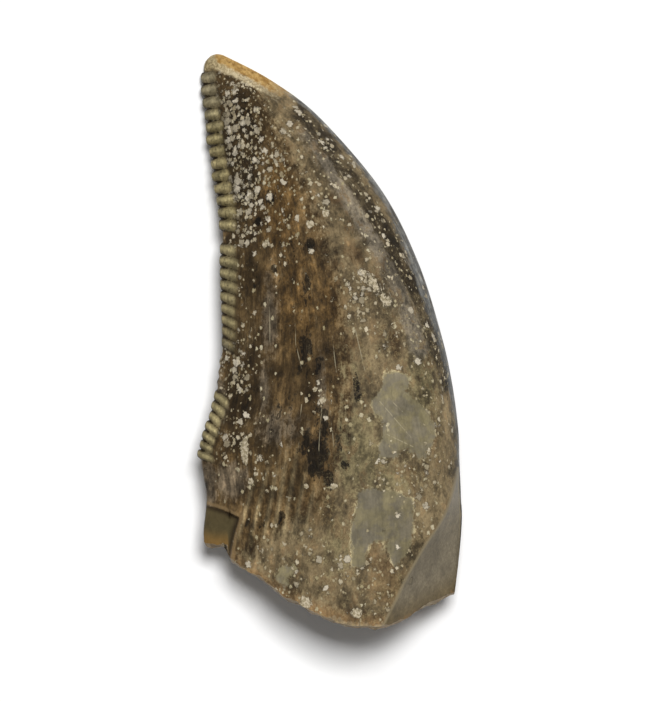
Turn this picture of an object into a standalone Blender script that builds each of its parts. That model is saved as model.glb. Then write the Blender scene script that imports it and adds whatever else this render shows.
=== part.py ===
"""A fossil theropod tooth: one broken crown that lies on its flatter side, tip to the upper left.

The frame is in metres, with +Z up. Seen from above, +Y runs from the broken base to the tip's end, the
serrated distal edge is on the -X side and the smooth mesial edge on the +X side. The origin is under the
middle of the crown's box, on the surface that it rests on.
"""

import math

import bmesh
import bpy
import numpy as np
from mathutils import Matrix, Vector, noise

MM = 0.001

# The crown's two edges as seen from above, in millimetres, from below the break up to the tip.
DISTAL_EDGE_MM = (
    (-4.40, -10.80), (-4.41, -8.60), (-4.41, -7.16), (-4.42, -6.60), (-4.31, -5.50), (-4.42, -4.80),
    (-4.50, -4.05), (-4.36, -3.30), (-4.10, -2.55), (-3.92, -1.80), (-3.80, -0.90), (-3.75, 0.20),
    (-3.75, 1.50), (-3.76, 2.90), (-3.77, 4.20), (-3.86, 5.27), (-4.03, 6.32), (-4.19, 7.37),
    (-4.31, 8.42), (-4.42, 9.20), (-4.41, 9.75), (-4.20, 10.03),
)
MESIAL_EDGE_MM = (
    (4.10, -10.80), (4.45, -8.14), (4.61, -6.40), (4.58, -5.40), (4.53, -4.20), (4.49, -3.10), (4.26, -1.42),
    (3.88, 0.26), (3.07, 2.78), (1.78, 5.30), (-0.36, 7.82), (-2.00, 9.10), (-3.51, 9.92), (-3.93, 10.08),
    (-4.20, 10.03),
)

# The section: the crown's thickness, how it tapers, and how the two carinae divide it.
BASE_THICKNESS = 5.05 * MM
TAPER_START, TAPER_END = 2.30, 0.83
LABIAL_SHARE = 0.54
LABIAL_PEAK, LABIAL_RISE = 0.60, 1.60
LINGUAL_PEAK, LINGUAL_RISE = 0.54, 2.10
ROUND_AT_BASE, ROUND_AT_TIP = 2.20, 1.60
CARINA_RADIUS = 0.08 * MM

# How the crown lies: the share of its lingual depth that is worn flat, and the arch of its middle.
REST_FLAT_SHARE = 0.06
ARCH_HEIGHT = 0.26 * MM
ARCH_START = 0.30

LOFT_ROWS = 50
LOFT_COLUMNS = 18
LINE_POINTS = 600

# Denticles, measured along the distal edge from the tip.
FIRST_DENTICLE = 0.66 * MM
LAST_DENTICLE = 14.25 * MM
PITCH_AT_TIP, PITCH_AT_BASE = 0.440 * MM, 0.335 * MM
DENTICLE_GAP = 0.055 * MM
DENTICLE_LEAN_DEG = 28
# A denticle's rings, from its outer end inwards: the distance in from the edge, its share of the height
# and how far it stands above the crown's two sides, in millimetres.
DENTICLE_RINGS = (
    (-0.02, 0.96, 0.095), (0.18, 1.00, 0.085), (0.42, 0.92, 0.060), (0.58, 0.60, -0.020),
)
DENTICLE_END_HALF = 0.10 * MM
DENTICLE_FLAT = 0.70
# How far the denticles stand out of the edge, in millimetres, against their distance from the tip.
DENTICLE_WEAR_MM = (
    (0.6, 0.07), (1.2, 0.12), (5.6, 0.14), (6.10, 0.12), (6.25, -0.12), (6.55, -0.12), (6.65, 0.12), (8.4, 0.10),
    (9.4, 0.05), (10.3, 0.03), (10.4, -0.02), (11.8, -0.02), (11.9, 0.10), (12.3, 0.12), (14.3, 0.14),
)

# The broken base, as the line where the break meets the labial side, in millimetres.
BREAK_EDGE_MM = (
    (-6.0, -7.30), (-4.47, -7.14), (-4.30, -7.25), (-4.05, -7.31), (-3.58, -7.31), (-3.51, -7.70),
    (-3.16, -8.03), (-2.35, -8.56), (-1.83, -8.95), (-0.92, -9.40), (0.06, -9.82), (0.87, -9.98),
    (1.75, -10.10), (2.62, -9.82), (3.53, -9.40), (4.26, -8.98), (6.0, -8.50),
)
BREAK_LIP = 0.13 * MM
BREAK_LIP_DEPTH = 0.45 * MM
BREAK_LINGUAL_SHORT = 0.45 * MM
BREAK_HOLLOW = 0.80 * MM
BREAK_HOLLOW_MIDDLE = (0.35 * MM, 2.45 * MM)
BREAK_HOLLOW_REACH = (2.40 * MM, 1.15 * MM)
BREAK_ROUGHNESS = 0.09 * MM
BREAK_GRAIN = 0.9 * MM
BREAK_CELLS = (36, 17)
BREAK_HALF_WIDTH = 4.95 * MM
BREAK_JITTER = 0.12 * MM
BREAK_LOW, BREAK_HIGH = -0.4 * MM, 5.6 * MM

# The spall on the mesial side, by its inner ridge as seen from above, in millimetres.
SPALL_RIDGE_MM = (
    (4.50, -4.36), (4.38, -4.92), (4.23, -5.48), (4.06, -5.95), (3.81, -6.42), (3.30, -7.15), (2.92, -7.80),
    (2.58, -8.40), (2.33, -8.95), (2.10, -9.40), (1.75, -10.10), (1.40, -10.80),
)
SPALL_STATIONS = 30
SPALL_INSET = 0.05 * MM
SPALL_BELOW_CARINA = 0.45 * MM
SPALL_HOLLOW = 0.10 * MM

# The worn facet of the tip, by its middle as seen from above.
TIP_FACET_MIDDLE = (-3.00 * MM, 9.50 * MM)
TIP_FACET_DEPTH = 0.06 * MM

# Flutes of the enamel above the break: (x at the foot, x at the head, y at the head), in millimetres.
FLUTES_MM = (
    (-3.22, -2.50, -4.40), (-2.76, -2.05, -4.00), (-2.32, -1.78, -4.10), (-1.96, -1.45, -3.60),
    (-1.65, -1.10, -3.55), (-1.30, -0.78, -4.20), (-0.94, -0.50, -4.90),
)
FLUTE_FOOT_Y = -6.90 * MM
FLUTE_RADIUS = 0.085 * MM
FLUTE_SINK = 0.045 * MM
FLUTE_END_SINK = 0.05 * MM
FLUTE_STATIONS = 7

# The chip at the foot of the distal edge, where the enamel has come away, seen from above in millimetres.
CHIP_OUTLINE_MM = (
    (-6.0, -5.30), (-4.23, -5.77), (-3.68, -5.95), (-3.16, -6.19), (-3.35, -6.79), (-3.43, -7.25),
    (-3.50, -7.90), (-6.0, -7.90),
)
CHIP_DEPTH_SHARE = 0.34

ENAMEL_COLOUR = (0.141, 0.102, 0.055)
ENAMEL_ROUGHNESS = 0.45

# How far the break's cutter runs past the crown.
AIR = 3 * MM


def smooth_line(points_mm, count):
    """Points in metres, evenly spaced along a Catmull-Rom curve through the given ones."""
    p = np.array(points_mm) * MM
    p = np.vstack([2 * p[0] - p[1], p, 2 * p[-1] - p[-2]])
    u = np.linspace(0, 1, 24, endpoint=False)[:, None]
    spans = [
        0.5 * (2 * b + (c - a) * u + (2 * a - 5 * b + 4 * c - d) * u**2 + (3 * b - a - 3 * c + d) * u**3)
        for a, b, c, d in zip(p, p[1:], p[2:], p[3:])
    ]
    line = np.vstack([*spans, p[-2]])
    steps = np.linalg.norm(np.diff(line, axis=0), axis=1)
    length = np.concatenate([[0], np.cumsum(steps)])
    at = np.linspace(0, length[-1], count)
    return np.column_stack([np.interp(at, length, line[:, k]) for k in range(2)]), length[-1]


DISTAL_LINE, DISTAL_LENGTH = smooth_line(DISTAL_EDGE_MM, LINE_POINTS)
MESIAL_LINE, _ = smooth_line(MESIAL_EDGE_MM, LINE_POINTS)


def smooth_step(low, high, value):
    u = np.clip((value - low) / (high - low), 0, 1)
    return u * u * (3 - 2 * u)


def on_line(line, share):
    """The point at a share of a line's length, 0 below the break and 1 at the tip."""
    at = share * (len(line) - 1)
    return np.array([np.interp(at, np.arange(len(line)), line[:, k]) for k in range(2)])


def bulge(t, peak, rise, roundness):
    """The section's depth from 0 at the distal carina, through 1 at its peak, to 0 at the mesial edge."""
    wedge = 1 - (1 - min(t / peak, 1)) ** rise
    past = max((t - peak) / (1 - peak), 0)
    return wedge if t < peak else (1 - past**roundness) ** (1 / roundness)


def crown_point(s, t, labial, labial_depth=1.0):
    """A point of the unbroken crown: s runs from below the break to the tip, t from distal to mesial."""
    distal, mesial = on_line(DISTAL_LINE, s), on_line(MESIAL_LINE, s)
    width = float(np.linalg.norm(mesial - distal))
    roundness = ROUND_AT_BASE + (ROUND_AT_TIP - ROUND_AT_BASE) * smooth_step(0.35, 0.85, s)
    bead = CARINA_RADIUS * math.sqrt(1 - (1 - min(t * width / CARINA_RADIUS, 1)) ** 2)
    thickness = BASE_THICKNESS * (1 - s**TAPER_START) ** TAPER_END
    lingual_half = thickness * (1 - LABIAL_SHARE)
    arch = ARCH_HEIGHT * math.sin(math.pi * max(s - ARCH_START, 0) / (1 - ARCH_START)) ** 2
    carina_z = lingual_half * (1 - REST_FLAT_SHARE) + arch + CARINA_RADIUS
    if labial:
        half = thickness * LABIAL_SHARE * labial_depth
        z = carina_z + half * bulge(t, LABIAL_PEAK, LABIAL_RISE, roundness) + bead
    else:
        z = max(carina_z - lingual_half * bulge(t, LINGUAL_PEAK, LINGUAL_RISE, roundness) - bead, 0)
    x, y = distal + (mesial - distal) * t
    return Vector((x, y, z))


def station_at(y, t):
    """The station s whose line passes the given height y at t."""
    shares = np.linspace(0, 1, LINE_POINTS)
    ys = DISTAL_LINE[:, 1] * (1 - t) + MESIAL_LINE[:, 1] * t
    return float(np.interp(y, ys, shares))


def labial_place(x, y):
    """The station s and share t of the crown's point that is seen at (x, y) from above."""
    t = 0.5
    for _ in range(12):
        s = station_at(y, t)
        distal, mesial = on_line(DISTAL_LINE, s), on_line(MESIAL_LINE, s)
        t = min(max((x - distal[0]) / (mesial[0] - distal[0]), 0), 1)
    return s, t


def new_object(name, bm, collection):
    bmesh.ops.recalc_face_normals(bm, faces=bm.faces)
    mesh = bpy.data.meshes.new(name)
    bm.to_mesh(mesh)
    bm.free()
    obj = bpy.data.objects.new(name, mesh)
    collection.objects.link(obj)
    return obj


def new_collection(name):
    collection = bpy.data.collections.new(name)
    bpy.context.scene.collection.children.link(collection)
    return collection


def bridge(bm, rings):
    """Quads between rings of equal count, with both ends filled."""
    for below, above in zip(rings, rings[1:]):
        for k, corner in enumerate(below):
            after = (k + 1) % len(below)
            bm.faces.new((corner, below[after], above[after], above[k]))
    bm.faces.new(rings[0][::-1])
    bm.faces.new(rings[-1])


def crown_loft(name, collection, labial_depth=1.0):
    """The whole crown as a loft: each ring runs over the labial side and back under the lingual one."""
    bm = bmesh.new()
    columns = [0.5 * (1 - math.cos(math.pi * k / LOFT_COLUMNS)) for k in range(LOFT_COLUMNS + 1)]
    rings = []
    for row in range(LOFT_ROWS):
        # The rows crowd towards the tip, so that it stays round.
        s = 1 - (1 - (row + 0.25) / LOFT_ROWS) ** 1.35
        over = [crown_point(s, t, True, labial_depth) for t in columns]
        under = [crown_point(s, t, False) for t in columns[-2:0:-1]]
        rings.append([bm.verts.new(point) for point in over + under])
    bridge(bm, rings)
    return new_object(name, bm, collection)


def denticle_places():
    """(distance from the tip, pitch there, share of the row's length) of every denticle."""
    places, at = [], FIRST_DENTICLE
    while at < LAST_DENTICLE:
        share = (at - FIRST_DENTICLE) / (LAST_DENTICLE - FIRST_DENTICLE)
        pitch = PITCH_AT_TIP + (PITCH_AT_BASE - PITCH_AT_TIP) * share**2
        places.append((at + pitch / 2, pitch, share))
        at += pitch
    return places


def denticles(collection):
    """The row of denticles, each a rounded ridge that follows both sides of the distal carina."""
    wear = np.array(DENTICLE_WEAR_MM) * MM
    bm = bmesh.new()
    for at, pitch, share in denticle_places():
        s = 1 - at / DISTAL_LENGTH
        stand_out = float(np.interp(at, wear[:, 0], wear[:, 1]))
        if stand_out < 0:
            continue
        edge = crown_point(s, 0, True)
        width = float(np.linalg.norm(on_line(MESIAL_LINE, s) - on_line(DISTAL_LINE, s)))
        up = on_line(DISTAL_LINE, s + 0.01) - on_line(DISTAL_LINE, s - 0.01)
        lean = math.radians(DENTICLE_LEAN_DEG) * float(smooth_step(0.25, 0.75, share))
        turn = Matrix.Rotation(math.atan2(up[1], up[0]) - math.pi / 2 - lean, 3, "Z")
        height = pitch * math.cos(lean) - DENTICLE_GAP
        outer = (-stand_out, 0.66, edge.z + DENTICLE_END_HALF, edge.z - DENTICLE_END_HALF)
        sections = [outer]
        for inwards, tall, proud in DENTICLE_RINGS:
            t = max(inwards * MM / width, 0)
            top = crown_point(s, t, True).z + proud * MM
            foot = crown_point(s, t, False).z - proud * MM
            sections.append((inwards * MM, tall, top, max(foot, 0.02 * MM)))
        rings = []
        for inwards, tall, top, foot in sections:
            half = tall * height / 2
            chamfer = min(0.09 * MM, (top - foot) / 3)
            flat = half * DENTICLE_FLAT
            outline = (
                (-half, foot + chamfer), (-flat, foot), (flat, foot), (half, foot + chamfer),
                (half, top - chamfer), (flat, top), (-flat, top), (-half, top - chamfer),
            )
            ring = []
            for across, z in outline:
                corner = edge + turn @ Vector((inwards, across, 0))
                ring.append(bm.verts.new((corner.x, corner.y, z)))
            rings.append(ring)
        bridge(bm, rings)
    return new_object("denticle_row", bm, collection)


def flutes(collection):
    """Fine ridges along the enamel, as slender rods sunk in the labial side."""
    curve = bpy.data.curves.new("flutes", "CURVE")
    curve.dimensions = "3D"
    curve.bevel_depth = FLUTE_RADIUS
    curve.bevel_resolution = 1
    curve.use_fill_caps = True
    for foot_x, head_x, head_y in FLUTES_MM:
        spline = curve.splines.new("POLY")
        spline.points.add(FLUTE_STATIONS)
        for k, point in enumerate(spline.points):
            up = k / FLUTE_STATIONS
            x = (foot_x + (head_x - foot_x) * up) * MM
            y = FLUTE_FOOT_Y + (head_y * MM - FLUTE_FOOT_Y) * up
            middle = crown_point(*labial_place(x, y), True)
            middle.z -= FLUTE_SINK + FLUTE_END_SINK * abs(2 * up - 0.8) ** 3
            point.co = (*middle, 1)
            point.radius = 1 - 0.5 * up
    rods = bpy.data.objects.new("flute_curves", curve)
    collection.objects.link(rods)
    mesh = bpy.data.meshes.new_from_object(rods.evaluated_get(bpy.context.evaluated_depsgraph_get()))
    bpy.data.objects.remove(rods)
    bm = bmesh.new()
    bm.from_mesh(mesh)
    bmesh.ops.remove_doubles(bm, verts=bm.verts, dist=0.001 * MM)
    return new_object("flutes", bm, collection)


def break_cutter(collection):
    """Everything below the break: a rough, dished face with a lip under the labial edge."""
    edge = np.array(BREAK_EDGE_MM) * MM
    bm = bmesh.new()
    bmesh.ops.create_grid(bm, x_segments=BREAK_CELLS[0], y_segments=BREAK_CELLS[1], size=0.5)
    for corner in bm.verts:
        x = corner.co.x * 2 * BREAK_HALF_WIDTH
        z = BREAK_LOW + (corner.co.y + 0.5) * (BREAK_HIGH - BREAK_LOW)
        if not corner.is_boundary:
            x += BREAK_JITTER * noise.noise(corner.co * 91)
            z += BREAK_JITTER * noise.noise(corner.co * 67 + Vector((5, 5, 5)))
        y = float(np.interp(x, edge[:, 0], edge[:, 1]))
        t = min(max((x - DISTAL_LINE[0, 0]) / (MESIAL_LINE[0, 0] - DISTAL_LINE[0, 0]), 0), 1)
        top = crown_point(station_at(y, t), t, True).z
        lip = BREAK_LIP * (1 - float(smooth_step(0, BREAK_LIP_DEPTH, top - z)))
        short = BREAK_LINGUAL_SHORT * (1 - float(smooth_step(0, top, z)))
        hollow = BREAK_HOLLOW * math.exp(
            -(((x - BREAK_HOLLOW_MIDDLE[0]) / BREAK_HOLLOW_REACH[0]) ** 2)
            - ((z - BREAK_HOLLOW_MIDDLE[1]) / BREAK_HOLLOW_REACH[1]) ** 2
        )
        rough = BREAK_ROUGHNESS * noise.noise(Vector((x, 0, z)) / BREAK_GRAIN)
        corner.co = (x, y + lip + short + hollow + rough, z)
    pushed = bmesh.ops.extrude_face_region(bm, geom=list(bm.faces))["geom"]
    for corner in pushed:
        if isinstance(corner, bmesh.types.BMVert):
            corner.co.y = DISTAL_LINE[0, 1] - AIR
    return new_object("break_cutter", bm, collection)


def spall_cutter(collection):
    """The mesial spall: a shallow hollow face that falls from its ridge to just below the mesial edge."""
    ridge_line, _ = smooth_line(SPALL_RIDGE_MM, SPALL_STATIONS)
    bm = bmesh.new()
    rings = []
    for k, (x, y) in enumerate(ridge_line):
        ridge = crown_point(*labial_place(x, y), True)
        rim = crown_point(station_at(y, 1), 1, True)
        rim -= Vector((SPALL_INSET, 0, SPALL_BELOW_CARINA))
        fall = (rim - ridge).normalized()
        inner, outer = ridge - fall * 0.6 * MM, rim + fall * 1.5 * MM
        hollow = Vector((fall.z, 0, -fall.x)) * SPALL_HOLLOW * min(k / 10, 1)
        ring = (
            inner, ridge, ridge.lerp(rim, 0.3) + hollow * 0.8, ridge.lerp(rim, 0.6) + hollow, rim, outer,
            Vector((outer.x + 2 * MM, outer.y, 8 * MM)), Vector((inner.x, inner.y, 8 * MM)),
        )
        rings.append([bm.verts.new(point) for point in ring])
    bridge(bm, rings)
    return new_object("spall_cutter", bm, collection)


def tip_facet_cutter(collection):
    """The half-space above the worn facet of the tip, as a block."""
    s, t = labial_place(*TIP_FACET_MIDDLE)
    middle = crown_point(s, t, True)
    along = crown_point(s + 0.01, t, True) - crown_point(s - 0.01, t, True)
    across = crown_point(s, t + 0.02, True) - crown_point(s, t - 0.02, True)
    outwards = across.cross(along).normalized()
    bm = bmesh.new()
    bmesh.ops.create_cube(bm, size=12 * MM)
    place = (
        Matrix.Translation(middle + outwards * (6 * MM - TIP_FACET_DEPTH))
        @ outwards.to_track_quat("Z", "Y").to_matrix().to_4x4()
    )
    bmesh.ops.transform(bm, matrix=place, verts=bm.verts)
    return new_object("tip_facet_cutter", bm, collection)


def chip_cutter(collection):
    """The chip's outline as a prism, less the dentine that stays under the lost enamel."""
    bm = bmesh.new()
    low, high = 2.3 * MM, 8 * MM
    rings = [[bm.verts.new((x * MM, y * MM, z)) for x, y in CHIP_OUTLINE_MM] for z in (low, high)]
    bridge(bm, rings)
    cutter = new_object("chip_cutter", bm, collection)
    dentine = crown_loft("dentine_under_chip", collection, labial_depth=1 - CHIP_DEPTH_SHARE)
    add_boolean(cutter, dentine, "DIFFERENCE")
    return cutter


def add_boolean(obj, other, operation):
    modifier = obj.modifiers.new(other.name, "BOOLEAN")
    modifier.object = other
    modifier.operation = operation
    modifier.solver = "EXACT"


def enamel_material():
    material = bpy.data.materials.new("fossil_enamel")
    material.use_nodes = True
    shader = material.node_tree.nodes["Principled BSDF"]
    shader.inputs["Base Color"].default_value = (*ENAMEL_COLOUR, 1)
    shader.inputs["Roughness"].default_value = ENAMEL_ROUGHNESS
    shader.inputs["Metallic"].default_value = 0
    return material


def main():
    for obj in list(bpy.data.objects):
        bpy.data.objects.remove(obj)
    tooth_collection = new_collection("fossil_theropod_tooth")
    cutters = new_collection("cutters")

    tooth = crown_loft("tooth", tooth_collection)
    tooth.data.shade_smooth()
    tooth.data.set_sharp_from_angle(angle=math.radians(35))
    tooth.data.materials.append(enamel_material())
    for make in (denticles, flutes):
        add_boolean(tooth, make(cutters), "UNION")
    for make in (tip_facet_cutter, chip_cutter, spall_cutter, break_cutter):
        add_boolean(tooth, make(cutters), "DIFFERENCE")
    for helper in cutters.objects:
        helper.hide_render = True
        helper.display_type = "WIRE"


main()
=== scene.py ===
"""A fossil theropod tooth lying on a pale studio floor, seen from straight above."""

import math

import bpy
import numpy as np
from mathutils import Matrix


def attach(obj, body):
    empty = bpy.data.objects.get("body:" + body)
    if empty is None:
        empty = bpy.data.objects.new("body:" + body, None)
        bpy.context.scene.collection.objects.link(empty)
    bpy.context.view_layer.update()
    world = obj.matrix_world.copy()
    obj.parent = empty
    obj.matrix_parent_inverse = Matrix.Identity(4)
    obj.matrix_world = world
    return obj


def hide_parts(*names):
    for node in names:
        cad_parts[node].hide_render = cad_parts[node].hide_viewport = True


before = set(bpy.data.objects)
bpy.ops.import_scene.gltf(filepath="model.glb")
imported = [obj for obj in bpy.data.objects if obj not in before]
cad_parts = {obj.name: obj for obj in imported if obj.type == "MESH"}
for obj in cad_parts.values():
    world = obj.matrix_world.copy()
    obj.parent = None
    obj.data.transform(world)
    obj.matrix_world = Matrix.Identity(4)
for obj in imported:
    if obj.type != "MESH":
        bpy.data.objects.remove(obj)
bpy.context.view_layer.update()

# The tooth crown: one natural piece of fossil enamel over dentine, recurved, with a serrated distal
# edge. It broke off above the root, lost a chip of enamel and a long spall, and lies on its flat side.

MM = 0.001

# The two edges as seen from above, in millimetres, from below the break to the tip.
DISTAL_EDGE = (
    (-4.40, -10.80), (-4.41, -8.60), (-4.41, -7.16), (-4.42, -6.60), (-4.31, -5.50), (-4.42, -4.80),
    (-4.50, -4.05), (-4.36, -3.30), (-4.10, -2.55), (-3.92, -1.80), (-3.80, -0.90), (-3.75, 0.20),
    (-3.75, 1.50), (-3.76, 2.90), (-3.77, 4.20), (-3.86, 5.27), (-4.03, 6.32), (-4.19, 7.37),
    (-4.31, 8.42), (-4.42, 9.20), (-4.41, 9.75), (-4.20, 10.03),
)
MESIAL_EDGE = (
    (4.10, -10.80), (4.45, -8.14), (4.61, -6.40), (4.58, -5.40), (4.53, -4.20), (4.49, -3.10),
    (4.26, -1.42), (3.88, 0.26), (3.07, 2.78), (1.78, 5.30), (-0.36, 7.82), (-2.00, 9.10),
    (-3.51, 9.92), (-3.93, 10.08), (-4.20, 10.03),
)
BASE_THICKNESS = 5.05
TAPER_START, TAPER_END = 2.30, 0.83
LABIAL_SHARE = 0.54
LABIAL_PEAK, LABIAL_RISE = 0.60, 1.60
LINGUAL_PEAK, LINGUAL_RISE = 0.54, 2.10
ROUND_AT_BASE, ROUND_AT_TIP = 2.20, 1.60
CARINA_RADIUS = 0.08
REST_FLAT_SHARE = 0.06
ARCH_HEIGHT, ARCH_START = 0.26, 0.30


def smooth_line(points, count):
    """Points evenly spaced along a Catmull-Rom curve through the given ones, and its length."""
    p = np.array(points, float)
    p = np.vstack([2 * p[0] - p[1], p, 2 * p[-1] - p[-2]])
    u = np.linspace(0, 1, 24, endpoint=False)[:, None]
    spans = [
        0.5 * (2 * b + (c - a) * u + (2 * a - 5 * b + 4 * c - d) * u**2 + (3 * b - a - 3 * c + d) * u**3)
        for a, b, c, d in zip(p, p[1:], p[2:], p[3:])
    ]
    line = np.vstack([*spans, p[-2]])
    length = np.concatenate([[0], np.cumsum(np.linalg.norm(np.diff(line, axis=0), axis=1))])
    at = np.linspace(0, length[-1], count)
    return np.column_stack([np.interp(at, length, line[:, k]) for k in range(2)]), length[-1]


SHARES = np.linspace(0, 1, 3000)
distal_line, distal_length = smooth_line(DISTAL_EDGE, len(SHARES))
mesial_line, _ = smooth_line(MESIAL_EDGE, len(SHARES))


def smooth_step(low, high, value):
    u = np.clip((value - low) / (high - low), 0, 1)
    return u * u * (3 - 2 * u)


def on_line(line, s):
    """The point of a line at the share s of its length."""
    return np.interp(s, SHARES, line[:, 0]), np.interp(s, SHARES, line[:, 1])


def bulge(t, peak, rise, roundness):
    """A side's depth: 0 at the distal carina, 1 at its peak, 0 at the mesial edge."""
    before = 1 - (1 - np.minimum(t / peak, 1)) ** rise
    past = np.clip((t - peak) / (1 - peak), 0, 1)
    return np.where(t < peak, before, (1 - past**roundness) ** (1 / roundness))


def crown(s, t):
    """The unbroken crown at station s (0 below the break, 1 at the tip) and t from distal to mesial."""
    dx, dy = on_line(distal_line, s)
    mx, my = on_line(mesial_line, s)
    width = np.hypot(mx - dx, my - dy)
    thickness = BASE_THICKNESS * (1 - s**TAPER_START) ** TAPER_END
    roundness = ROUND_AT_BASE + (ROUND_AT_TIP - ROUND_AT_BASE) * smooth_step(0.35, 0.85, s)
    bead = CARINA_RADIUS * np.sqrt(1 - (1 - np.minimum(t * width / CARINA_RADIUS, 1)) ** 2)
    lingual = thickness * (1 - LABIAL_SHARE)
    arch = ARCH_HEIGHT * np.sin(math.pi * np.maximum(s - ARCH_START, 0) / (1 - ARCH_START)) ** 2
    carina = lingual * (1 - REST_FLAT_SHARE) + arch + CARINA_RADIUS
    rise = thickness * LABIAL_SHARE * bulge(t, LABIAL_PEAK, LABIAL_RISE, roundness)
    low = np.maximum(carina - lingual * bulge(t, LINGUAL_PEAK, LINGUAL_RISE, roundness) - bead, 0)
    return {
        "x": dx + (mx - dx) * t, "y": dy + (my - dy) * t, "carina": carina, "bead": bead,
        "rise": rise, "top": carina + rise + bead, "low": low,
    }


def labial_place(x, y, t):
    """The station s and share t of the crown's point seen at (x, y) from above; t is a first guess."""
    for _ in range(14):
        s = np.interp(y, distal_line[:, 1] * (1 - t) + mesial_line[:, 1] * t, SHARES)
        left, right = on_line(distal_line, s)[0], on_line(mesial_line, s)[0]
        t = np.clip((x - left) / (right - left), 0, 1)
    return s, t


def ripple(places, wavelength, seed, waves=9):
    """Smooth unevenness from -1 to 1, as a sum of sine waves in all directions."""
    draw = np.random.default_rng(seed)
    total = 0
    for _ in range(waves):
        direction = draw.normal(size=3)
        direction /= np.linalg.norm(direction)
        pace = 2 * math.pi / (wavelength * draw.uniform(0.6, 1.5))
        total = total + np.sin(places @ (direction * pace) + draw.uniform(0, 2 * math.pi))
    return total / math.sqrt(waves) / 1.6


# The spall on the mesial side: a hollow face that falls from this ridge to the mesial edge.
SPALL_RIDGE = (
    (4.50, -4.36), (4.38, -4.92), (4.23, -5.48), (4.06, -5.95), (3.81, -6.42), (3.30, -7.15),
    (2.92, -7.80), (2.58, -8.40), (2.33, -8.95), (2.10, -9.40), (1.75, -10.10), (1.40, -10.80),
)
SPALL_HOLLOW, SPALL_FULL_WIDTH = 0.10, 1.2
SPALL_SOFTNESS = 0.03

ridge_line, _ = smooth_line(SPALL_RIDGE, 120)
ridge_z, rim_x, rim_z = [], [], []
for ridge_x, ridge_y in ridge_line:
    ridge_z.append(float(crown(*labial_place(ridge_x, ridge_y, 0.8))["top"]))
    rim = crown(np.interp(ridge_y, mesial_line[:, 1], SHARES), np.array(1.0))
    rim_x.append(float(rim["x"]))
    rim_z.append(float(rim["carina"]))
by_height = np.argsort(ridge_line[:, 1])


def spall_face(x, y):
    """The spall's height at (x, y), its share of the way to the mesial edge, and its ridge's x."""
    ridge_y = ridge_line[by_height, 1]
    from_x, from_z, to_x, to_z = (
        np.interp(y, ridge_y, np.array(values)[by_height])
        for values in (ridge_line[:, 0], ridge_z, rim_x, rim_z)
    )
    span = np.maximum(to_x - from_x, 0.02)
    run = (x - from_x) / span
    height = from_z + (to_z - from_z) * run
    height -= SPALL_HOLLOW * np.minimum(span / SPALL_FULL_WIDTH, 1) * np.sin(math.pi * np.clip(run, 0, 1))
    return np.where(y < SPALL_RIDGE[0][1], height, 99), run, from_x


def pebbles(places, cell, seed):
    """Uneven lumps from -1 to 1, about a cell wide, from random values on a lattice."""
    table = np.random.default_rng(seed).uniform(-1, 1, 4096)
    corner = np.floor(places / cell).astype(np.int64)
    part = places / cell - corner
    part = part * part * (3 - 2 * part)
    total = 0
    for dx in (0, 1):
        for dy in (0, 1):
            for dz in (0, 1):
                key = (corner[..., 0] + dx) * 73 + (corner[..., 1] + dy) * 179 + (corner[..., 2] + dz) * 283
                weight = np.abs(1 - dx - part[..., 0]) * np.abs(1 - dy - part[..., 1])
                total = total + table[key % 4096] * weight * np.abs(1 - dz - part[..., 2])
    return total


# The broken base: where the break meets the labial side, and the lip, slope and hollow of its face.
BREAK_EDGE = np.array((
    (-6.0, -7.30), (-4.47, -7.14), (-4.30, -7.25), (-4.05, -7.31), (-3.58, -7.31), (-3.51, -7.70),
    (-3.16, -8.03), (-2.35, -8.56), (-1.83, -8.95), (-0.92, -9.40), (0.06, -9.82), (0.87, -9.98),
    (1.75, -10.10), (2.62, -9.82), (3.53, -9.40), (4.26, -8.98), (6.0, -8.50),
))
BREAK_LIP, BREAK_LIP_DEPTH = 0.13, 0.45
BREAK_LINGUAL_SHORT = 0.45
BREAK_HOLLOW, HOLLOW_MIDDLE, HOLLOW_REACH = 0.80, (0.35, 2.45), (2.40, 1.15)
# Its roughness, as (height, width, seed): long swells, and lumps of two sizes.
BREAK_SWELLS = (0.05, 1.1, 3)
BREAK_LUMPS = ((0.050, 0.31, 4), (0.030, 0.13, 5))


def break_height(x, z, top):
    """The height y of the break's face at (x, z), below a labial side at the height top."""
    y = np.interp(x, BREAK_EDGE[:, 0], BREAK_EDGE[:, 1])
    y = y + BREAK_LIP * (1 - smooth_step(0, BREAK_LIP_DEPTH, top - z))
    y = y + BREAK_LINGUAL_SHORT * (1 - smooth_step(0, top, z))
    across = ((x - HOLLOW_MIDDLE[0]) / HOLLOW_REACH[0]) ** 2
    up = ((z - HOLLOW_MIDDLE[1]) / HOLLOW_REACH[1]) ** 2
    places = np.stack([x, np.zeros_like(x), z], -1)
    height, width, seed = BREAK_SWELLS
    rough = height * ripple(places, width, seed)
    for height, width, seed in BREAK_LUMPS:
        rough = rough + height * pebbles(places, width, seed)
    return y + BREAK_HOLLOW * np.exp(-across - up) + rough


# Columns run from the distal edge over the labial side to the mesial edge, then back underneath.
labial_t = np.concatenate([
    np.linspace(0, 0.10, 26)[:-1], np.linspace(0.10, 0.50, 76)[:-1], np.linspace(0.50, 0.90, 40)[:-1],
    1 - 0.10 * (1 - np.sin(np.linspace(0, math.pi / 2, 17))),
])
lingual_t = np.concatenate([
    1 - 0.10 * (1 - np.cos(np.linspace(0, math.pi / 2, 10)))[1:], np.linspace(0.90, 0.10, 36)[1:],
    np.linspace(0.10, 0, 18)[1:-1],
])
column_t = np.concatenate([labial_t, lingual_t])
is_labial = np.arange(len(column_t)) < len(labial_t)
ROWS = 400
LAST_ROW, ROW_CROWDING = 0.9992, 1.12

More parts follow.
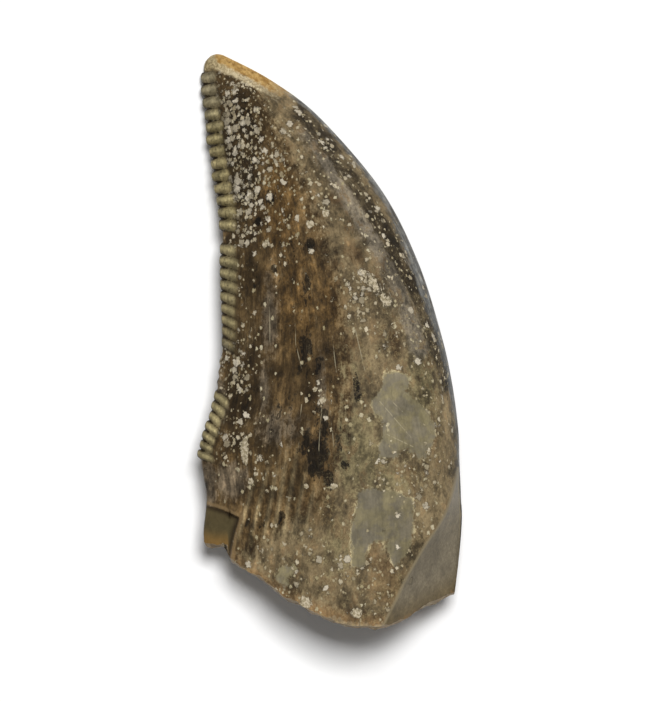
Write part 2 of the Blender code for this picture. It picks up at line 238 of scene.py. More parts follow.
# Each column starts where it meets the break's face.
trial_s = np.linspace(0, 0.30, 1500)[:, None] * np.ones(len(column_t))
trial = crown(trial_s, column_t)
trial_spall, trial_run, _ = spall_face(trial["x"], trial["y"])
trial_top = np.where((trial_run > 0) & (trial_run < 1), np.minimum(trial["top"], trial_spall), trial["top"])
trial_z = np.where(is_labial, trial_top, trial["low"])
above = trial["y"] > break_height(trial["x"], trial_z, trial_top)
start_s = trial_s[above.argmax(axis=0), 0]

up_share = np.linspace(0, 1, ROWS)[:, None]
s = start_s + (LAST_ROW - start_s) * (1 - (1 - up_share) ** ROW_CROWDING)
t = column_t * np.ones((ROWS, 1))
shape = crown(s, t)
x, y, carina = shape["x"].copy(), shape["y"].copy(), shape["carina"]
side = np.where(is_labial, 1.0, -1.0) * np.ones((ROWS, 1))

# Denticles stand in a row on the distal carina, measured from the tip; some are worn or lost.
FIRST_DENTICLE, LAST_DENTICLE = 0.66, 14.25
PITCH_AT_TIP, PITCH_AT_BASE = 0.440, 0.335
DENTICLE_LEAN_DEG = 28
DENTICLE_LENGTH = 0.58
# How far they stand out of the edge, by their distance from the tip; below 0 they are lost.
DENTICLE_WEAR = np.array((
    (0.6, 0.08), (1.2, 0.13), (5.6, 0.15), (6.10, 0.13), (6.25, -0.12), (6.55, -0.12), (6.65, 0.12),
    (8.4, 0.10), (9.4, 0.05), (10.3, 0.03), (10.4, -0.02), (11.8, -0.02), (11.9, 0.10), (12.3, 0.12),
    (14.3, 0.14),
))
FULL_STAND_OUT = 0.12
STAND_OUT_RANGE, LENGTH_RANGE = (0.85, 1.15), (0.88, 1.12)
# The upper ones stand out more and are shorter; the lowest are shorter too.
UPPER_STANDS_OUT, UPPER_SHORTER, LOWER_SHORTER = 0.35, 0.16, 0.18
# Their height over the crown's side, by the distance in from the edge.
INWARD_STEPS, PROUD_STEPS = (0, 0.05, 0.15, 0.42, 0.64), (0.03, 0.07, 0.09, 0.07, 0.0)
# Where a stretch of the row is worn to low lumps.
WORN_LUMP_HEIGHT, WORN_LUMP_PITCH = 0.09, 0.36

bounds_of_denticles = [FIRST_DENTICLE]
pitch_change = PITCH_AT_BASE - PITCH_AT_TIP
while bounds_of_denticles[-1] < LAST_DENTICLE:
    share = (bounds_of_denticles[-1] - FIRST_DENTICLE) / (LAST_DENTICLE - FIRST_DENTICLE)
    bounds_of_denticles.append(bounds_of_denticles[-1] + PITCH_AT_TIP + pitch_change * share**2)
bounds_of_denticles = np.array(bounds_of_denticles)
middles = (bounds_of_denticles[1:] + bounds_of_denticles[:-1]) / 2
draw = np.random.default_rng(11)
stand_out = np.interp(middles, DENTICLE_WEAR[:, 0], DENTICLE_WEAR[:, 1])
stand_out *= draw.uniform(*STAND_OUT_RANGE, len(middles))
stand_out = np.maximum(stand_out, 0)
denticle_length = DENTICLE_LENGTH * draw.uniform(*LENGTH_RANGE, len(middles))
is_upper, is_lowest = 1 - smooth_step(4.8, 6.0, middles), smooth_step(10.5, 12, middles)
denticle_length *= 1 - LOWER_SHORTER * is_lowest - UPPER_SHORTER * is_upper
stand_out *= 1 + UPPER_STANDS_OUT * (1 - smooth_step(4.8, 5.6, middles))
denticle_tone = draw.uniform(0, 1, len(middles))

edge_x, edge_y = on_line(distal_line, s)
ahead_x, ahead_y = on_line(distal_line, np.minimum(s + 0.004, 1))
behind_x, behind_y = on_line(distal_line, np.maximum(s - 0.004, 0))
tangent = np.stack([behind_x - ahead_x, behind_y - ahead_y], -1)
tangent /= np.linalg.norm(tangent, axis=-1, keepdims=True)
inward_way = np.stack([-tangent[..., 1], tangent[..., 0]], -1)
offset = np.stack([x - edge_x, y - edge_y], -1)
from_tip = (1 - s) * distal_length + (offset * tangent).sum(-1)
inward = (offset * inward_way).sum(-1)
row_share = np.clip((from_tip - FIRST_DENTICLE) / (LAST_DENTICLE - FIRST_DENTICLE), 0, 1)
lean = np.tan(np.radians(DENTICLE_LEAN_DEG) * smooth_step(0.25, 0.75, row_share))
along = from_tip - np.clip(inward, 0, 1.2) * lean
number = np.clip(np.searchsorted(bounds_of_denticles, along) - 1, 0, len(middles) - 1)
pitch_here = bounds_of_denticles[number + 1] - bounds_of_denticles[number]
phase = (along - bounds_of_denticles[number]) / pitch_here
in_row = (along > bounds_of_denticles[0]) & (along < bounds_of_denticles[-1])
off_middle = np.abs(2 * np.clip(phase, 0, 1) - 1)
length_here = denticle_length[number]
round_end = np.where(in_row, (1 - off_middle**2.8) ** 0.5, 0)
pinched = np.minimum(off_middle * (1 + 0.35 * (1 - smooth_step(0, 0.22, inward))), 1)
round_top = np.where(in_row, (1 - pinched**3.6) ** 0.55, 0)
kept = np.clip(stand_out[number] / FULL_STAND_OUT, 0, 1.2)
ridge = round_top * np.sqrt(kept) * (1 - smooth_step(length_here * 0.50, length_here * 1.15, inward))
out_by = stand_out[number] * round_end * (1 - smooth_step(0, 0.40, inward))
worn_lumps = WORN_LUMP_HEIGHT * smooth_step(10.55, 10.85, from_tip)
worn_lumps *= 1 - smooth_step(11.75, 12.0, from_tip)
worn_lumps = worn_lumps * (0.75 + 0.25 * np.sin(2 * math.pi * from_tip / WORN_LUMP_PITCH))
out_by += worn_lumps * (1 - smooth_step(0, 0.5, inward))
proud = np.interp(inward, INWARD_STEPS, PROUD_STEPS) * ridge
end_round = np.clip(shape["bead"] / CARINA_RADIUS, 0, 1)
x -= inward_way[..., 0] * out_by
y -= inward_way[..., 1] * out_by

# The chip at the foot of the distal edge, where the enamel has come away from the dentine.
CHIP_OUTLINE = (
    (-6.0, -5.30), (-4.23, -5.77), (-3.68, -5.95), (-3.16, -6.19), (-3.35, -6.79), (-3.43, -7.25),
    (-3.50, -7.90), (-6.0, -7.90),
)
CHIP_DEPTH_SHARE = 0.34


def line_distance(x, y, points, closed=False):
    """Distance from each (x, y) to a chain of straight stretches."""
    p = np.array(points, float)
    q = np.roll(p, -1, axis=0) if closed else p[1:]
    best = np.full(x.shape, 1e9)
    for (ax, ay), (bx, by) in zip(p, q):
        run = ((x - ax) * (bx - ax) + (y - ay) * (by - ay)) / ((bx - ax) ** 2 + (by - ay) ** 2)
        run = np.clip(run, 0, 1)
        best = np.minimum(best, np.hypot(x - ax - run * (bx - ax), y - ay - run * (by - ay)))
    return best


def outline_depth(x, y, points):
    """Distance in from a closed outline: positive inside it, negative outside."""
    inside = np.zeros(x.shape, bool)
    p = np.array(points, float)
    for (ax, ay), (bx, by) in zip(p, np.roll(p, -1, axis=0)):
        if ay != by:
            crosses = (ay > y) != (by > y)
            inside ^= crosses & (x < (bx - ax) * (y - ay) / (by - ay) + ax)
    return np.where(inside, 1, -1) * line_distance(x, y, points, closed=True)


chip_depth = np.where(side > 0, outline_depth(x, y, CHIP_OUTLINE), -9)
chip = smooth_step(-0.02, 0.05, chip_depth)

# Flutes: fine ridges in the enamel above the break.
FLUTES = (
    (-3.22, -2.50, -4.40), (-2.76, -2.05, -4.00), (-2.32, -1.78, -4.10), (-1.96, -1.45, -3.60),
    (-1.65, -1.10, -3.55), (-1.30, -0.78, -4.20), (-0.94, -0.50, -4.90),
)
FLUTE_FOOT, FLUTE_HEIGHT, FLUTE_HALF_WIDTH = -6.90, 0.045, 0.075
flute = np.zeros_like(x)
for foot_x, head_x, head_y in FLUTES:
    climb = (y - FLUTE_FOOT) / (head_y - FLUTE_FOOT)
    apart = (x - foot_x - (head_x - foot_x) * climb) / FLUTE_HALF_WIDTH
    ends = smooth_step(-0.20, 0.15, climb) * (1 - smooth_step(0.60, 1.10, climb))
    flute += np.exp(-(apart**2)) * ends
flute *= (side > 0) * (1 - chip)

# Unevenness of the enamel, as (height, width, seed): long swells, and small lumps, which are higher where
# mineral crust has grown.
SWELLS = ((0.016, 2.2, 21), (0.006, 0.7, 22))
LUMPS = ((0.016, 0.23, 31), (0.010, 0.11, 32))
LOWEST_LUMP_SHARE = 0.25
rise = shape["rise"] * (1 - CHIP_DEPTH_SHARE * chip)
top = carina + rise + shape["bead"] + proud * end_round + FLUTE_HEIGHT * flute
low = np.maximum(shape["low"] - proud * end_round, np.minimum(shape["low"], 0.02))
z = np.where(side > 0, top, low)
places = np.stack([x, y, z], -1)
unevenness = sum(height * ripple(places, width, seed) for height, width, seed in SWELLS)
underside = np.where(z > 0.03, z + 0.5 * unevenness * end_round, z)
z = np.where(side > 0, z + unevenness * end_round, underside)
crust_by_tip = np.exp(-(((x + 3.1) / 0.9) ** 2) - ((y - 6.3) / 2.2) ** 2)
crust_by_shoulder = np.exp(-(((x - 2.2) / 1.2) ** 2) - (y / 2) ** 2)
crusty = crust_by_tip + 0.6 * crust_by_shoulder
lumps = sum(height * pebbles(places, width, seed) for height, width, seed in LUMPS)
z = np.where(side > 0, z + lumps * np.minimum(crusty + LOWEST_LUMP_SHARE, 1) * end_round, z)
z = np.maximum(z, 0)

# The spall cuts the labial side, with its ridge a little rounded, and starts where the two surfaces meet.
SPALL_START_SLOPE = 0.6
spall_z, spall_run, ridge_x_here = spall_face(x, y)
blend_share = np.clip(0.5 + (z - spall_z) / (2 * SPALL_SOFTNESS), 0, 1)
cut_z = z * (1 - blend_share) + spall_z * blend_share - SPALL_SOFTNESS * blend_share * (1 - blend_share)
spall_in = np.where((side > 0) & (y < SPALL_RIDGE[0][1]), x - ridge_x_here, -9)
ridge_z_here = np.interp(y, ridge_line[by_height, 1], np.array(ridge_z)[by_height])
spall_start = SPALL_START_SLOPE * (SPALL_RIDGE[0][1] - y) - (ridge_z_here - z)
z = np.where((side > 0) & (spall_in > -0.3) & (spall_run < 1), np.minimum(z, cut_z), z)

# The worn facet of the tip is flat, on the mesial and labial side.
TIP_FACET_MIDDLE = (-3.00, 9.50)
TIP_FACET_DEPTH = 0.06
TIP_FACET_FOOT = 6
station, share = labial_place(*TIP_FACET_MIDDLE, 0.5)


def crown_place(s, t):
    """The place of the labial side's point at station s and share t."""
    here = crown(np.array(s), np.array(t))
    return np.array([here["x"], here["y"], here["top"]], float)


facet_along = crown_place(station + 0.01, share) - crown_place(station - 0.01, share)
facet_across = crown_place(station, share + 0.02) - crown_place(station, share - 0.02)
facet_out = np.cross(facet_across, facet_along)
facet_out /= np.linalg.norm(facet_out)
places = np.stack([x, y, z], -1)
over = (places - crown_place(station, share)) @ facet_out + TIP_FACET_DEPTH
worn = np.maximum(over, 0) * (y > TIP_FACET_FOOT)
places -= worn[..., None] * facet_out

# The break's face closes the base: rings run from its rim to its middle.
BREAK_RINGS, RING_CROWDING = 22, 1.35
BREAK_MIDDLE = (0.20, 0.0, 2.40)
rim = places[0]
rim_top = np.interp(rim[:, 0], rim[: len(labial_t), 0], rim[: len(labial_t), 2])
middle = np.array(BREAK_MIDDLE)
rings, rim_distance = [], []
for k in range(1, BREAK_RINGS + 1):
    share = (k / (BREAK_RINGS + 1)) ** RING_CROWDING
    ring = rim + (middle - rim) * share
    ring_top = np.interp(ring[:, 0], rim[: len(labial_t), 0], rim[: len(labial_t), 2])
    away = np.linalg.norm((ring - rim)[:, [0, 2]], axis=1)
    level = break_height(ring[:, 0], ring[:, 2], ring_top)
    rim_level = break_height(rim[:, 0], rim[:, 2], rim_top)
    ring[:, 1] = level + (rim[:, 1] - rim_level) * (1 - smooth_step(0, 0.25, away))
    rings.append(ring)
    rim_distance.append(away)

columns = len(column_t)
tip = places[-1].mean(axis=0)
middle[1] = rings[-1][:, 1].mean()
vertices = np.vstack([places.reshape(-1, 3), *rings, tip, middle]) * MM
around = np.arange(columns)
next_around = (around + 1) % columns
quads = []
for row in range(ROWS - 1):
    first = row * columns + around
    after = row * columns + next_around
    quads.append(np.stack([first, after, after + columns, first + columns], -1))
crown_quads = len(quads) * columns
ring_starts = [0] + [ROWS * columns + k * columns for k in range(BREAK_RINGS)]
for outer, inner in zip(ring_starts, ring_starts[1:]):
    quads.append(np.stack([outer + next_around, outer + around, inner + around, inner + next_around], -1))
faces = [tuple(int(i) for i in quad) for quad in np.vstack(quads)]
tip_index, middle_index = len(vertices) - 2, len(vertices) - 1
for k in range(columns):
    after = (k + 1) % columns
    faces.append(((ROWS - 1) * columns + k, (ROWS - 1) * columns + after, tip_index))
    faces.append((ring_starts[-1] + after, ring_starts[-1] + k, middle_index))

tooth_mesh = bpy.data.meshes.new("tooth_crown")
tooth_mesh.from_pydata(vertices.tolist(), [], faces)
tooth_mesh.validate()
tooth = bpy.data.objects.new("tooth_crown", tooth_mesh)
bpy.context.scene.collection.objects.link(tooth)
is_break = np.zeros(len(faces), bool)
is_break[crown_quads : crown_quads + BREAK_RINGS * columns] = True
is_break[crown_quads + BREAK_RINGS * columns + 1 :: 2] = True
tooth_mesh.polygons.foreach_set("material_index", is_break.astype(np.int32))
SHARP_DEG = 50
tooth_mesh.shade_smooth()
tooth_mesh.set_sharp_from_angle(angle=math.radians(SHARP_DEG))


def store(name, values, rings_value=0.0):
    """Keeps a number for each vertex, for the finish to read."""
    full = np.full(len(vertices), rings_value, np.float32)
    full[: ROWS * columns] = np.asarray(values, np.float32).ravel()
    full[tip_index] = full[(ROWS - 1) * columns]
    tooth_mesh.attributes.new(name, "FLOAT", "POINT").data.foreach_set("value", full)


x, y, z = places[..., 0], places[..., 1], places[..., 2]
labial = side > 0
base_in = y - np.interp(x, BREAK_EDGE[:, 0], BREAK_EDGE[:, 1])
mesial_in = line_distance(x, y, mesial_line[::60])


def spots(*ellipses):
    """Soft elliptical spots: each (x, y, half width, half height, turn in degrees, strength)."""
    total = np.zeros_like(x)
    for middle_x, middle_y, half_x, half_y, turn, strength in ellipses:
        c, sn = math.cos(math.radians(turn)), math.sin(math.radians(turn))
        u = ((x - middle_x) * c + (y - middle_y) * sn) / half_x
        v = (-(x - middle_x) * sn + (y - middle_y) * c) / half_y
        total = np.maximum(total, strength * np.exp(-0.7 * (u * u + v * v)))
    return total


def stripe(points, half_width):
    """A soft stripe along a line of points."""
    return np.exp(-((line_distance(x, y, points) / half_width) ** 2))


# Where the finish changes over the crown, and where shade and a highlight are painted on it, in millimetres
# from the crown's middle.
TAN_REGION = (
    (-2.38, 8.59), (-1.58, 6.67), (-0.70, 4.92), (0.07, 2.82), (0.53, 0.37), (0.53, -2.08),
    (0.28, -4.01), (-0.42, -5.58), (-1.40, -6.28), (-2.63, -7.16), (-3.68, -7.68), (-3.68, -12),
    (8, -12), (8, 12), (-2.38, 12),
)
tan_side = smooth_step(-0.9, 0.9, outline_depth(x, y, TAN_REGION))
black_stain = spots(
    (-0.82, -0.30, 0.34, 0.62, 0, 0.95), (-0.45, -0.96, 0.20, 0.50, 0, 0.9),
    (-0.25, -3.0, 0.16, 0.80, 0, 1.0), (-0.42, -2.6, 0.30, 0.90, -4, 0.7),
    (-0.40, -3.95, 0.40, 0.75, 0, 1.2), (-0.90, -3.60, 0.26, 0.50, 0, 0.9),
    (-0.05, -4.75, 0.26, 0.45, 0, 1.15), (0.28, -3.60, 0.14, 0.50, 0, 0.9),
    (0.52, -4.30, 0.20, 0.16, 0, 1.0), (0.91, -1.66, 0.20, 0.50, 5, 0.95),
    (-0.80, 1.94, 0.18, 0.60, 0, 0.95), (-2.06, 4.99, 0.20, 0.26, 0, 1.05),
    (-2.52, 4.18, 0.15, 0.22, 0, 0.9), (-0.70, 3.27, 0.24, 0.26, 0, 1.05),
    (-1.96, 2.47, 0.15, 0.15, 0, 0.9), (-1.68, -6.20, 0.14, 0.34, -14, 1.0),
    (-2.38, -6.45, 0.15, 0.18, 0, 0.9), (-2.87, -6.38, 0.14, 0.20, 0, 0.9),
    (-0.91, -3.90, 0.12, 0.12, 0, 1.0), (-0.62, -1.10, 0.45, 1.30, 0, 0.55),
    (-1.60, -2.60, 0.50, 1.10, 0, 0.55), (-2.15, 0.90, 0.30, 0.80, 0, 0.50),
    (-2.60, 2.20, 0.35, 0.70, 0, 0.50), (-3.10, 7.90, 0.50, 0.80, 0, 0.60),
    (-1.30, 2.90, 0.30, 0.90, 0, 0.55), (-2.75, 5.80, 0.30, 0.70, 0, 0.50),
)
back_stain = spots(
    (0.6, 3.0, 0.3, 0.9, 20, 1.0), (-1.5, -4.5, 0.4, 0.7, 0, 1.0), (1.6, -1.0, 0.8, 2.2, 5, 0.55),
)
black_stain = np.where(labial, black_stain, back_stain)
fleck_share = spots(
    (-3.45, 7.4, 0.85, 1.6, 0, 1.15), (-3.20, 5.7, 0.80, 1.5, 0, 1.20),
    (-2.85, 4.5, 0.60, 0.9, 0, 0.85), (-2.30, 6.4, 0.90, 1.3, 20, 0.45),
    (-1.60, 4.4, 0.80, 1.6, 0, 0.22), (-0.60, 5.6, 1.20, 1.6, 30, 0.18),
    (-3.30, 2.2, 0.60, 2.6, 0, 0.22), (-3.40, -0.9, 0.42, 0.9, 0, 0.75),
    (-3.45, -3.4, 0.50, 0.8, 0, 0.50), (1.00, 1.42, 0.50, 0.60, 20, 0.85),
    (2.10, 0.40, 0.80, 1.2, 10, 0.18), (1.9, 2.6, 0.3, 1.0, 28, 0.30),
    (2.60, -5.0, 1.05, 1.20, 0, 0.28), (3.40, -3.0, 0.50, 1.6, 0, 0.18),
    (-1.00, -7.70, 1.9, 0.95, -25, 0.16), (1.6, -8.2, 0.9, 0.9, 0, 0.22),
    (-0.4, -1.9, 0.5, 0.8, 0, 0.12), (-2.3, -4.0, 0.5, 0.8, 0, 0.25), (2.2, 3.0, 0.9, 1.2, 30, 0.12),
)
# A dark stripe just inside the mesial edge is painted shade, where the side turns away from the light;
# flecks are thicker on it.
MESIAL_SHADE_LINE = (
    (-1.05, 8.00), (0.0, 6.74), (1.22, 4.92), (2.03, 3.59), (2.87, 1.94), (3.32, 1.0), (3.85, -0.40),
    (4.10, -1.56),
)
# A pale stripe along the shoulder is painted highlight, where the lamp's reflection lies.
SHOULDER_HIGHLIGHT_LINE = ((-0.70, 7.37), (0.52, 5.27), (1.22, 4.04), (2.17, 2.47), (2.80, 0.72), (3.15, -0.33))
mesial_shade = stripe(MESIAL_SHADE_LINE, 0.30)
shoulder_highlight = stripe(SHOULDER_HIGHLIGHT_LINE, 0.42)
fleck_share = np.maximum(fleck_share, 0.26 * mesial_shade)
fleck_share = np.where(labial, fleck_share, 0.10)
brown_spots = spots(
    (0.90, 3.0, 0.45, 0.32, -40, 1.0), (2.30, -0.15, 0.26, 0.60, 10, 1.0),
    (1.35, 2.2, 0.50, 0.26, -45, 0.9), (0.75, -0.1, 0.42, 0.26, 0, 0.9),
    (2.60, -4.5, 0.75, 0.22, 0, 0.75), (1.90, -7.9, 0.40, 0.50, 0, 1.0),
    (0.10, 4.9, 0.40, 0.22, -35, 0.8), (-0.9, -5.9, 0.35, 0.45, 0, 0.8),
)
grey = spots(
    (-2.10, 0.8, 0.26, 1.20, 0, 0.95), (-1.75, -3.0, 0.80, 0.60, 0, 0.75),
    (-3.45, -4.9, 0.50, 0.50, 0, 1.2), (-0.30, -1.6, 0.16, 1.20, 4, 0.7),
    (-2.30, -1.8, 0.22, 0.9, 0, 0.7), (-3.90, -1.7, 0.22, 1.1, 12, 0.9),
    (-4.30, -5.1, 0.30, 0.8, 0, 1.2),
)
warm = spots(
    (-1.75, 4.74, 0.70, 1.60, 0, 1.0), (0.18, 1.42, 0.50, 0.80, 0, 1.0),
    (-0.30, -5.80, 0.60, 0.8, 0, 0.9), (-1.10, 1.5, 0.9, 1.9, 0, 0.75), (1.25, -7.5, 0.55, 0.6, 0, 0.8),
    (1.9, -8.5, 0.60, 0.60, 0, 1.1),
)
dark = spots(
    (-3.10, 6.6, 0.85, 2.8, 0, 0.85), (-2.90, -1.2, 0.8, 2.8, 0, 0.85), (-0.80, -1.2, 0.8, 2.6, 0, 0.55),
    (-3.0, 2.3, 0.8, 1.8, 0, 0.75), (-2.2, -3.2, 0.7, 1.0, 0, 0.8), (-2.6, 7.6, 0.5, 0.7, 0, 0.9),
)
olive = spots(
    (-3.40, -4.90, 0.9, 0.9, 0, 0.9), (1.00, -3.9, 1.0, 1.6, 0, 0.8), (3.1, -1.6, 0.7, 2.0, 0, 0.7),
    (2.2, -4.8, 0.9, 0.6, 0, 0.8), (0.6, -0.9, 0.7, 1.6, 0, 0.5), (0.4, -7.0, 0.8, 1.4, 0, 0.6),
)
PALE_PATCHES = (
    (
        (1.91, -1.15), (2.27, -1.09), (2.63, -1.15), (2.75, -1.47), (2.66, -1.76), (3.01, -2.02),
        (3.21, -2.31), (3.46, -2.57), (3.65, -2.93), (3.67, -3.41), (3.59, -3.60), (3.43, -3.89),
        (3.27, -4.08), (3.08, -4.08), (2.95, -3.96), (2.75, -3.83), (2.63, -3.79), (2.43, -3.92),
        (2.30, -4.05), (1.98, -4.08), (1.72, -4.05), (1.69, -3.79), (1.79, -3.41), (1.79, -3.02),
        (1.85, -2.64), (1.59, -2.60), (1.46, -2.25), (1.53, -2.02), (1.72, -1.73), (1.85, -1.41),
    ),
    (
        (1.00, -5.23), (1.40, -5.13), (2.17, -5.20), (2.84, -5.48), (2.92, -5.89), (2.92, -6.29),
        (2.88, -6.76), (2.73, -7.33), (2.35, -7.76), (2.24, -7.86), (2.03, -7.44), (1.91, -7.19),
        (1.98, -6.96), (1.61, -7.00), (1.32, -7.09), (1.27, -7.56), (1.20, -7.83), (1.00, -7.93),
        (0.77, -7.83), (0.74, -6.89), (0.74, -6.29), (0.97, -5.72),
    ),
    (
        (-1.74, -7.86), (-1.41, -7.82), (-1.21, -7.80), (-1.13, -7.94), (-1.26, -8.14), (-1.46, -8.22),
        (-1.54, -8.31), (-1.44, -8.51), (-1.58, -8.67), (-1.66, -8.51), (-1.98, -8.34), (-1.82, -8.14),
        (-1.78, -7.98),
    ),
)
BETWEEN_PATCHES_Y = -4.6
PATCH_TONES, SMALL_PATCH_TONE = [1.0, 0.84], 1.12
patch_depth = np.full(x.shape, -9.0)
for outline in PALE_PATCHES:
    patch_depth = np.maximum(patch_depth, outline_depth(x, y, outline))
patch_depth = np.where(labial, patch_depth, -9)
crust = spots(
    (-2.24, 3.34, 0.14, 0.14, 0, 1), (-0.14, 4.46, 0.14, 0.14, 0, 1), (-0.67, 4.07, 0.14, 0.14, 0, 1),
    (-2.98, -3.85, 0.14, 0.42, 0, 1.1), (-0.53, -1.70, 0.10, 0.10, 0, 0.9),
    (-0.28, -2.08, 0.12, 0.14, 0, 0.9), (-2.74, -4.92, 0.10, 0.14, 0, 1),
    (-0.84, -5.06, 0.10, 0.10, 0, 1), (0.14, -5.06, 0.14, 0.12, 0, 1),
    (0.18, 5.40, 0.30, 0.08, -35, 0.9), (1.40, 2.10, 0.60, 0.22, -50, 0.8),
    (-0.81, -9.10, 0.24, 0.22, 0, 1), (0.90, -9.45, 0.22, 0.20, 0, 0.95), (1.9, 1.4, 0.3, 0.4, 0, 0.6),
    (3.45, -3.85, 0.12, 0.16, 0, 0.9), (2.35, -3.86, 0.40, 0.05, 10, 0.9),
    (-2.6, -4.65, 0.09, 0.10, 0, 1), (2.75, -4.45, 0.08, 0.08, 0, 0.9),
)
store("tan_side", np.where(labial, tan_side, 0.55))
store("black_stain", np.clip(black_stain, 0, 1.3))
store("fleck_share", fleck_share)
store("mesial_shade", mesial_shade)
store("shoulder_highlight", np.where(labial, shoulder_highlight, 0))
store("warm", warm)
store("brown_spots", np.where(labial, brown_spots, 0.5 * brown_spots))
store("grey", np.where(labial, grey, 0))
store("olive", olive)
store("dark", np.where(labial, dark, 0.5 * dark))
store("patch_depth", patch_depth, -9)
store("patch_tone", np.select([y > BETWEEN_PATCHES_Y, x > 0], PATCH_TONES, SMALL_PATCH_TONE))
store("crust", np.where(labial, crust, 0))
there = in_row & (kept > 0.05)
store("denticle", np.where(there, ridge, 0))
# The strip along the row where shade is painted in the gaps, and the grooves running in from them, also
# painted as shade.
store("denticle_band", (1 - smooth_step(0.25, 0.70, inward)) * there)
groove = np.exp(-(((1 - off_middle) / 0.30) ** 2)) * (1 - smooth_step(0.45, 1.15, inward))
store("denticle_groove", np.where(in_row, groove, 0) * (from_tip > 3))
# The denticles' painted highlight, on the upper side of each.
store("denticle_highlight", np.where(there, np.exp(-(((phase - 0.42) / 0.20) ** 2)), 0) * ridge)
store("denticle_tone", denticle_tone[number])
store("chip", chip)
store("chip_depth", chip_depth, -9)
store("flute", flute)
store("spall_in", np.minimum(spall_in, 0.5 * spall_start), -9)
store("base_in", base_in)
store("mesial_in", mesial_in)
# The slate-grey band, painted as the reflection that the steep mesial edge shows: its width in from the
# mesial edge, and its end below the carina.
SHEEN_WIDTH, SHEEN_EXTRA_WIDTH, SHEEN_FALL = 0.13, 0.20, 1.6
sheen = mesial_in / (SHEEN_WIDTH + SHEEN_EXTRA_WIDTH * np.exp(-(((y - 2.2) / 3.0) ** 2)))
store("sheen", sheen + SHEEN_FALL * np.maximum(carina + 0.25 - z, 0))
store("from_tip", from_tip)
MIDDLE_DISTANCE = 2.4
full_distance = np.zeros(len(vertices), np.float32)
full_distance[ROWS * columns : ROWS * columns + BREAK_RINGS * columns] = np.concatenate(rim_distance)
full_distance[middle_index] = MIDDLE_DISTANCE
tooth_mesh.attributes.new("rim_distance", "FLOAT", "POINT").data.foreach_set("value", full_distance)
# The enamel's prisms run along the crown: places are told across it, along it and up, in millimetres.
CROWN_WIDTH, CROWN_LENGTH = 9, 21
grain = np.zeros((len(vertices), 3), np.float32)
grain[: ROWS * columns] = np.stack([CROWN_WIDTH * t, (1 - s) * CROWN_LENGTH, z], -1).reshape(-1, 3)
grain[tip_index] = grain[(ROWS - 1) * columns]
tooth_mesh.attributes.new("grain", "FLOAT_VECTOR", "POINT").data.foreach_set("vector", grain.ravel())


def srgb(red, green, blue):
    """A colour as a screen shows it, from 0 to 255, as linear light with full alpha."""
    parts = (c / 255 for c in (red, green, blue))
    return (*(c / 12.92 if c <= 0.04045 else ((c + 0.055) / 1.055) ** 2.4 for c in parts), 1)


def add(tree, kind, **settings):
    node = tree.nodes.new(kind)
    for key, value in settings.items():
        setattr(node, key, value)
    return node


def feed(tree, socket, value):
    """Gives a socket a link, or a plain number or colour."""
    if isinstance(value, bpy.types.NodeSocket):
        tree.links.new(value, socket)
    else:
        socket.default_value = value


def maths(tree, operation, *values, clamp=False):
    node = add(tree, "ShaderNodeMath", operation=operation, use_clamp=clamp)
    for socket, value in zip(node.inputs, values):
        feed(tree, socket, value)
    return node.outputs[0]


def times(tree, *values):
    total = values[0]
    for value in values[1:]:
        total = maths(tree, "MULTIPLY", total, value)
    return total


def plus(tree, *values):
    total = values[0]
    for value in values[1:]:
        total = maths(tree, "ADD", total, value)
    return total


def greater(tree, *values):
    total = values[0]
    for value in values[1:]:
        total = maths(tree, "MAXIMUM", total, value)
    return total


def inverse(tree, value):
    return maths(tree, "SUBTRACT", 1.0, value)


def vector_maths(tree, operation, *values, output=0):
    """A vector sum; output 1 is its plain number, where it has one."""
    node = add(tree, "ShaderNodeVectorMath", operation=operation)
    for socket, value in zip(node.inputs, values):
        feed(tree, socket, value)
    return node.outputs[output]


def brightened(tree, colour, by):
    node = add(tree, "ShaderNodeVectorMath", operation="SCALE")
    feed(tree, node.inputs[0], colour)
    feed(tree, node.inputs["Scale"], by)
    return node.outputs[0]


def reading(tree, name, kind="Fac"):
    """A number or vector that the mesh keeps."""
    return add(tree, "ShaderNodeAttribute", attribute_name=name).outputs[kind]


def soft_edge(tree, value, low, high):
    """0 at low, 1 at high, smooth between; low may be the greater."""
    node = add(tree, "ShaderNodeMapRange", interpolation_type="SMOOTHSTEP")
    for socket, item in zip(node.inputs, (value, low, high, 0.0, 1.0)):
        feed(tree, socket, item)
    return node.outputs[0]


def over_colour(tree, share, below, above):
    node = add(tree, "ShaderNodeMix", data_type="RGBA")
    node.clamp_factor = True
    feed(tree, node.inputs["Factor"], share)
    feed(tree, node.inputs[6], below)
    feed(tree, node.inputs[7], above)
    return node.outputs[2]


def noise(tree, place, scale, detail, roughness, distortion=0.0):
    node = add(tree, "ShaderNodeTexNoise")
    feed(tree, node.inputs["Vector"], place)
    settings = {"Scale": scale, "Detail": detail, "Roughness": roughness, "Distortion": distortion}
    for name, value in settings.items():
        node.inputs[name].default_value = value
    return node


def drawn_out(tree, place, frequency, stretch):
    """A place in cells: frequency cells to a millimetre, each longer by stretch along the crown."""
    pace = add(tree, "ShaderNodeCombineXYZ")
    feed(tree, pace.inputs[0], frequency)
    feed(tree, pace.inputs[1], maths(tree, "DIVIDE", frequency, stretch))
    feed(tree, pace.inputs[2], frequency)
    return vector_maths(tree, "MULTIPLY", place, pace.outputs[0])


def new_group(name, inputs, outputs):
    """A shader node group with its named sockets; each input is (name, kind, default)."""
    group = bpy.data.node_groups.new(name, "ShaderNodeTree")
    for label, kind, default in inputs:
        socket = group.interface.new_socket(label, in_out="INPUT", socket_type="NodeSocket" + kind)
        if default is not None:
            socket.default_value = default
    for label in outputs:
        group.interface.new_socket(label, in_out="OUTPUT", socket_type="NodeSocketFloat")
    return group, group.nodes.new("NodeGroupInput"), group.nodes.new("NodeGroupOutput")


def place_group(tree, group, **values):
    node = add(tree, "ShaderNodeGroup", node_tree=group)
    for name, value in values.items():
        feed(tree, node.inputs[name.replace("_", " ")], value)
    return node
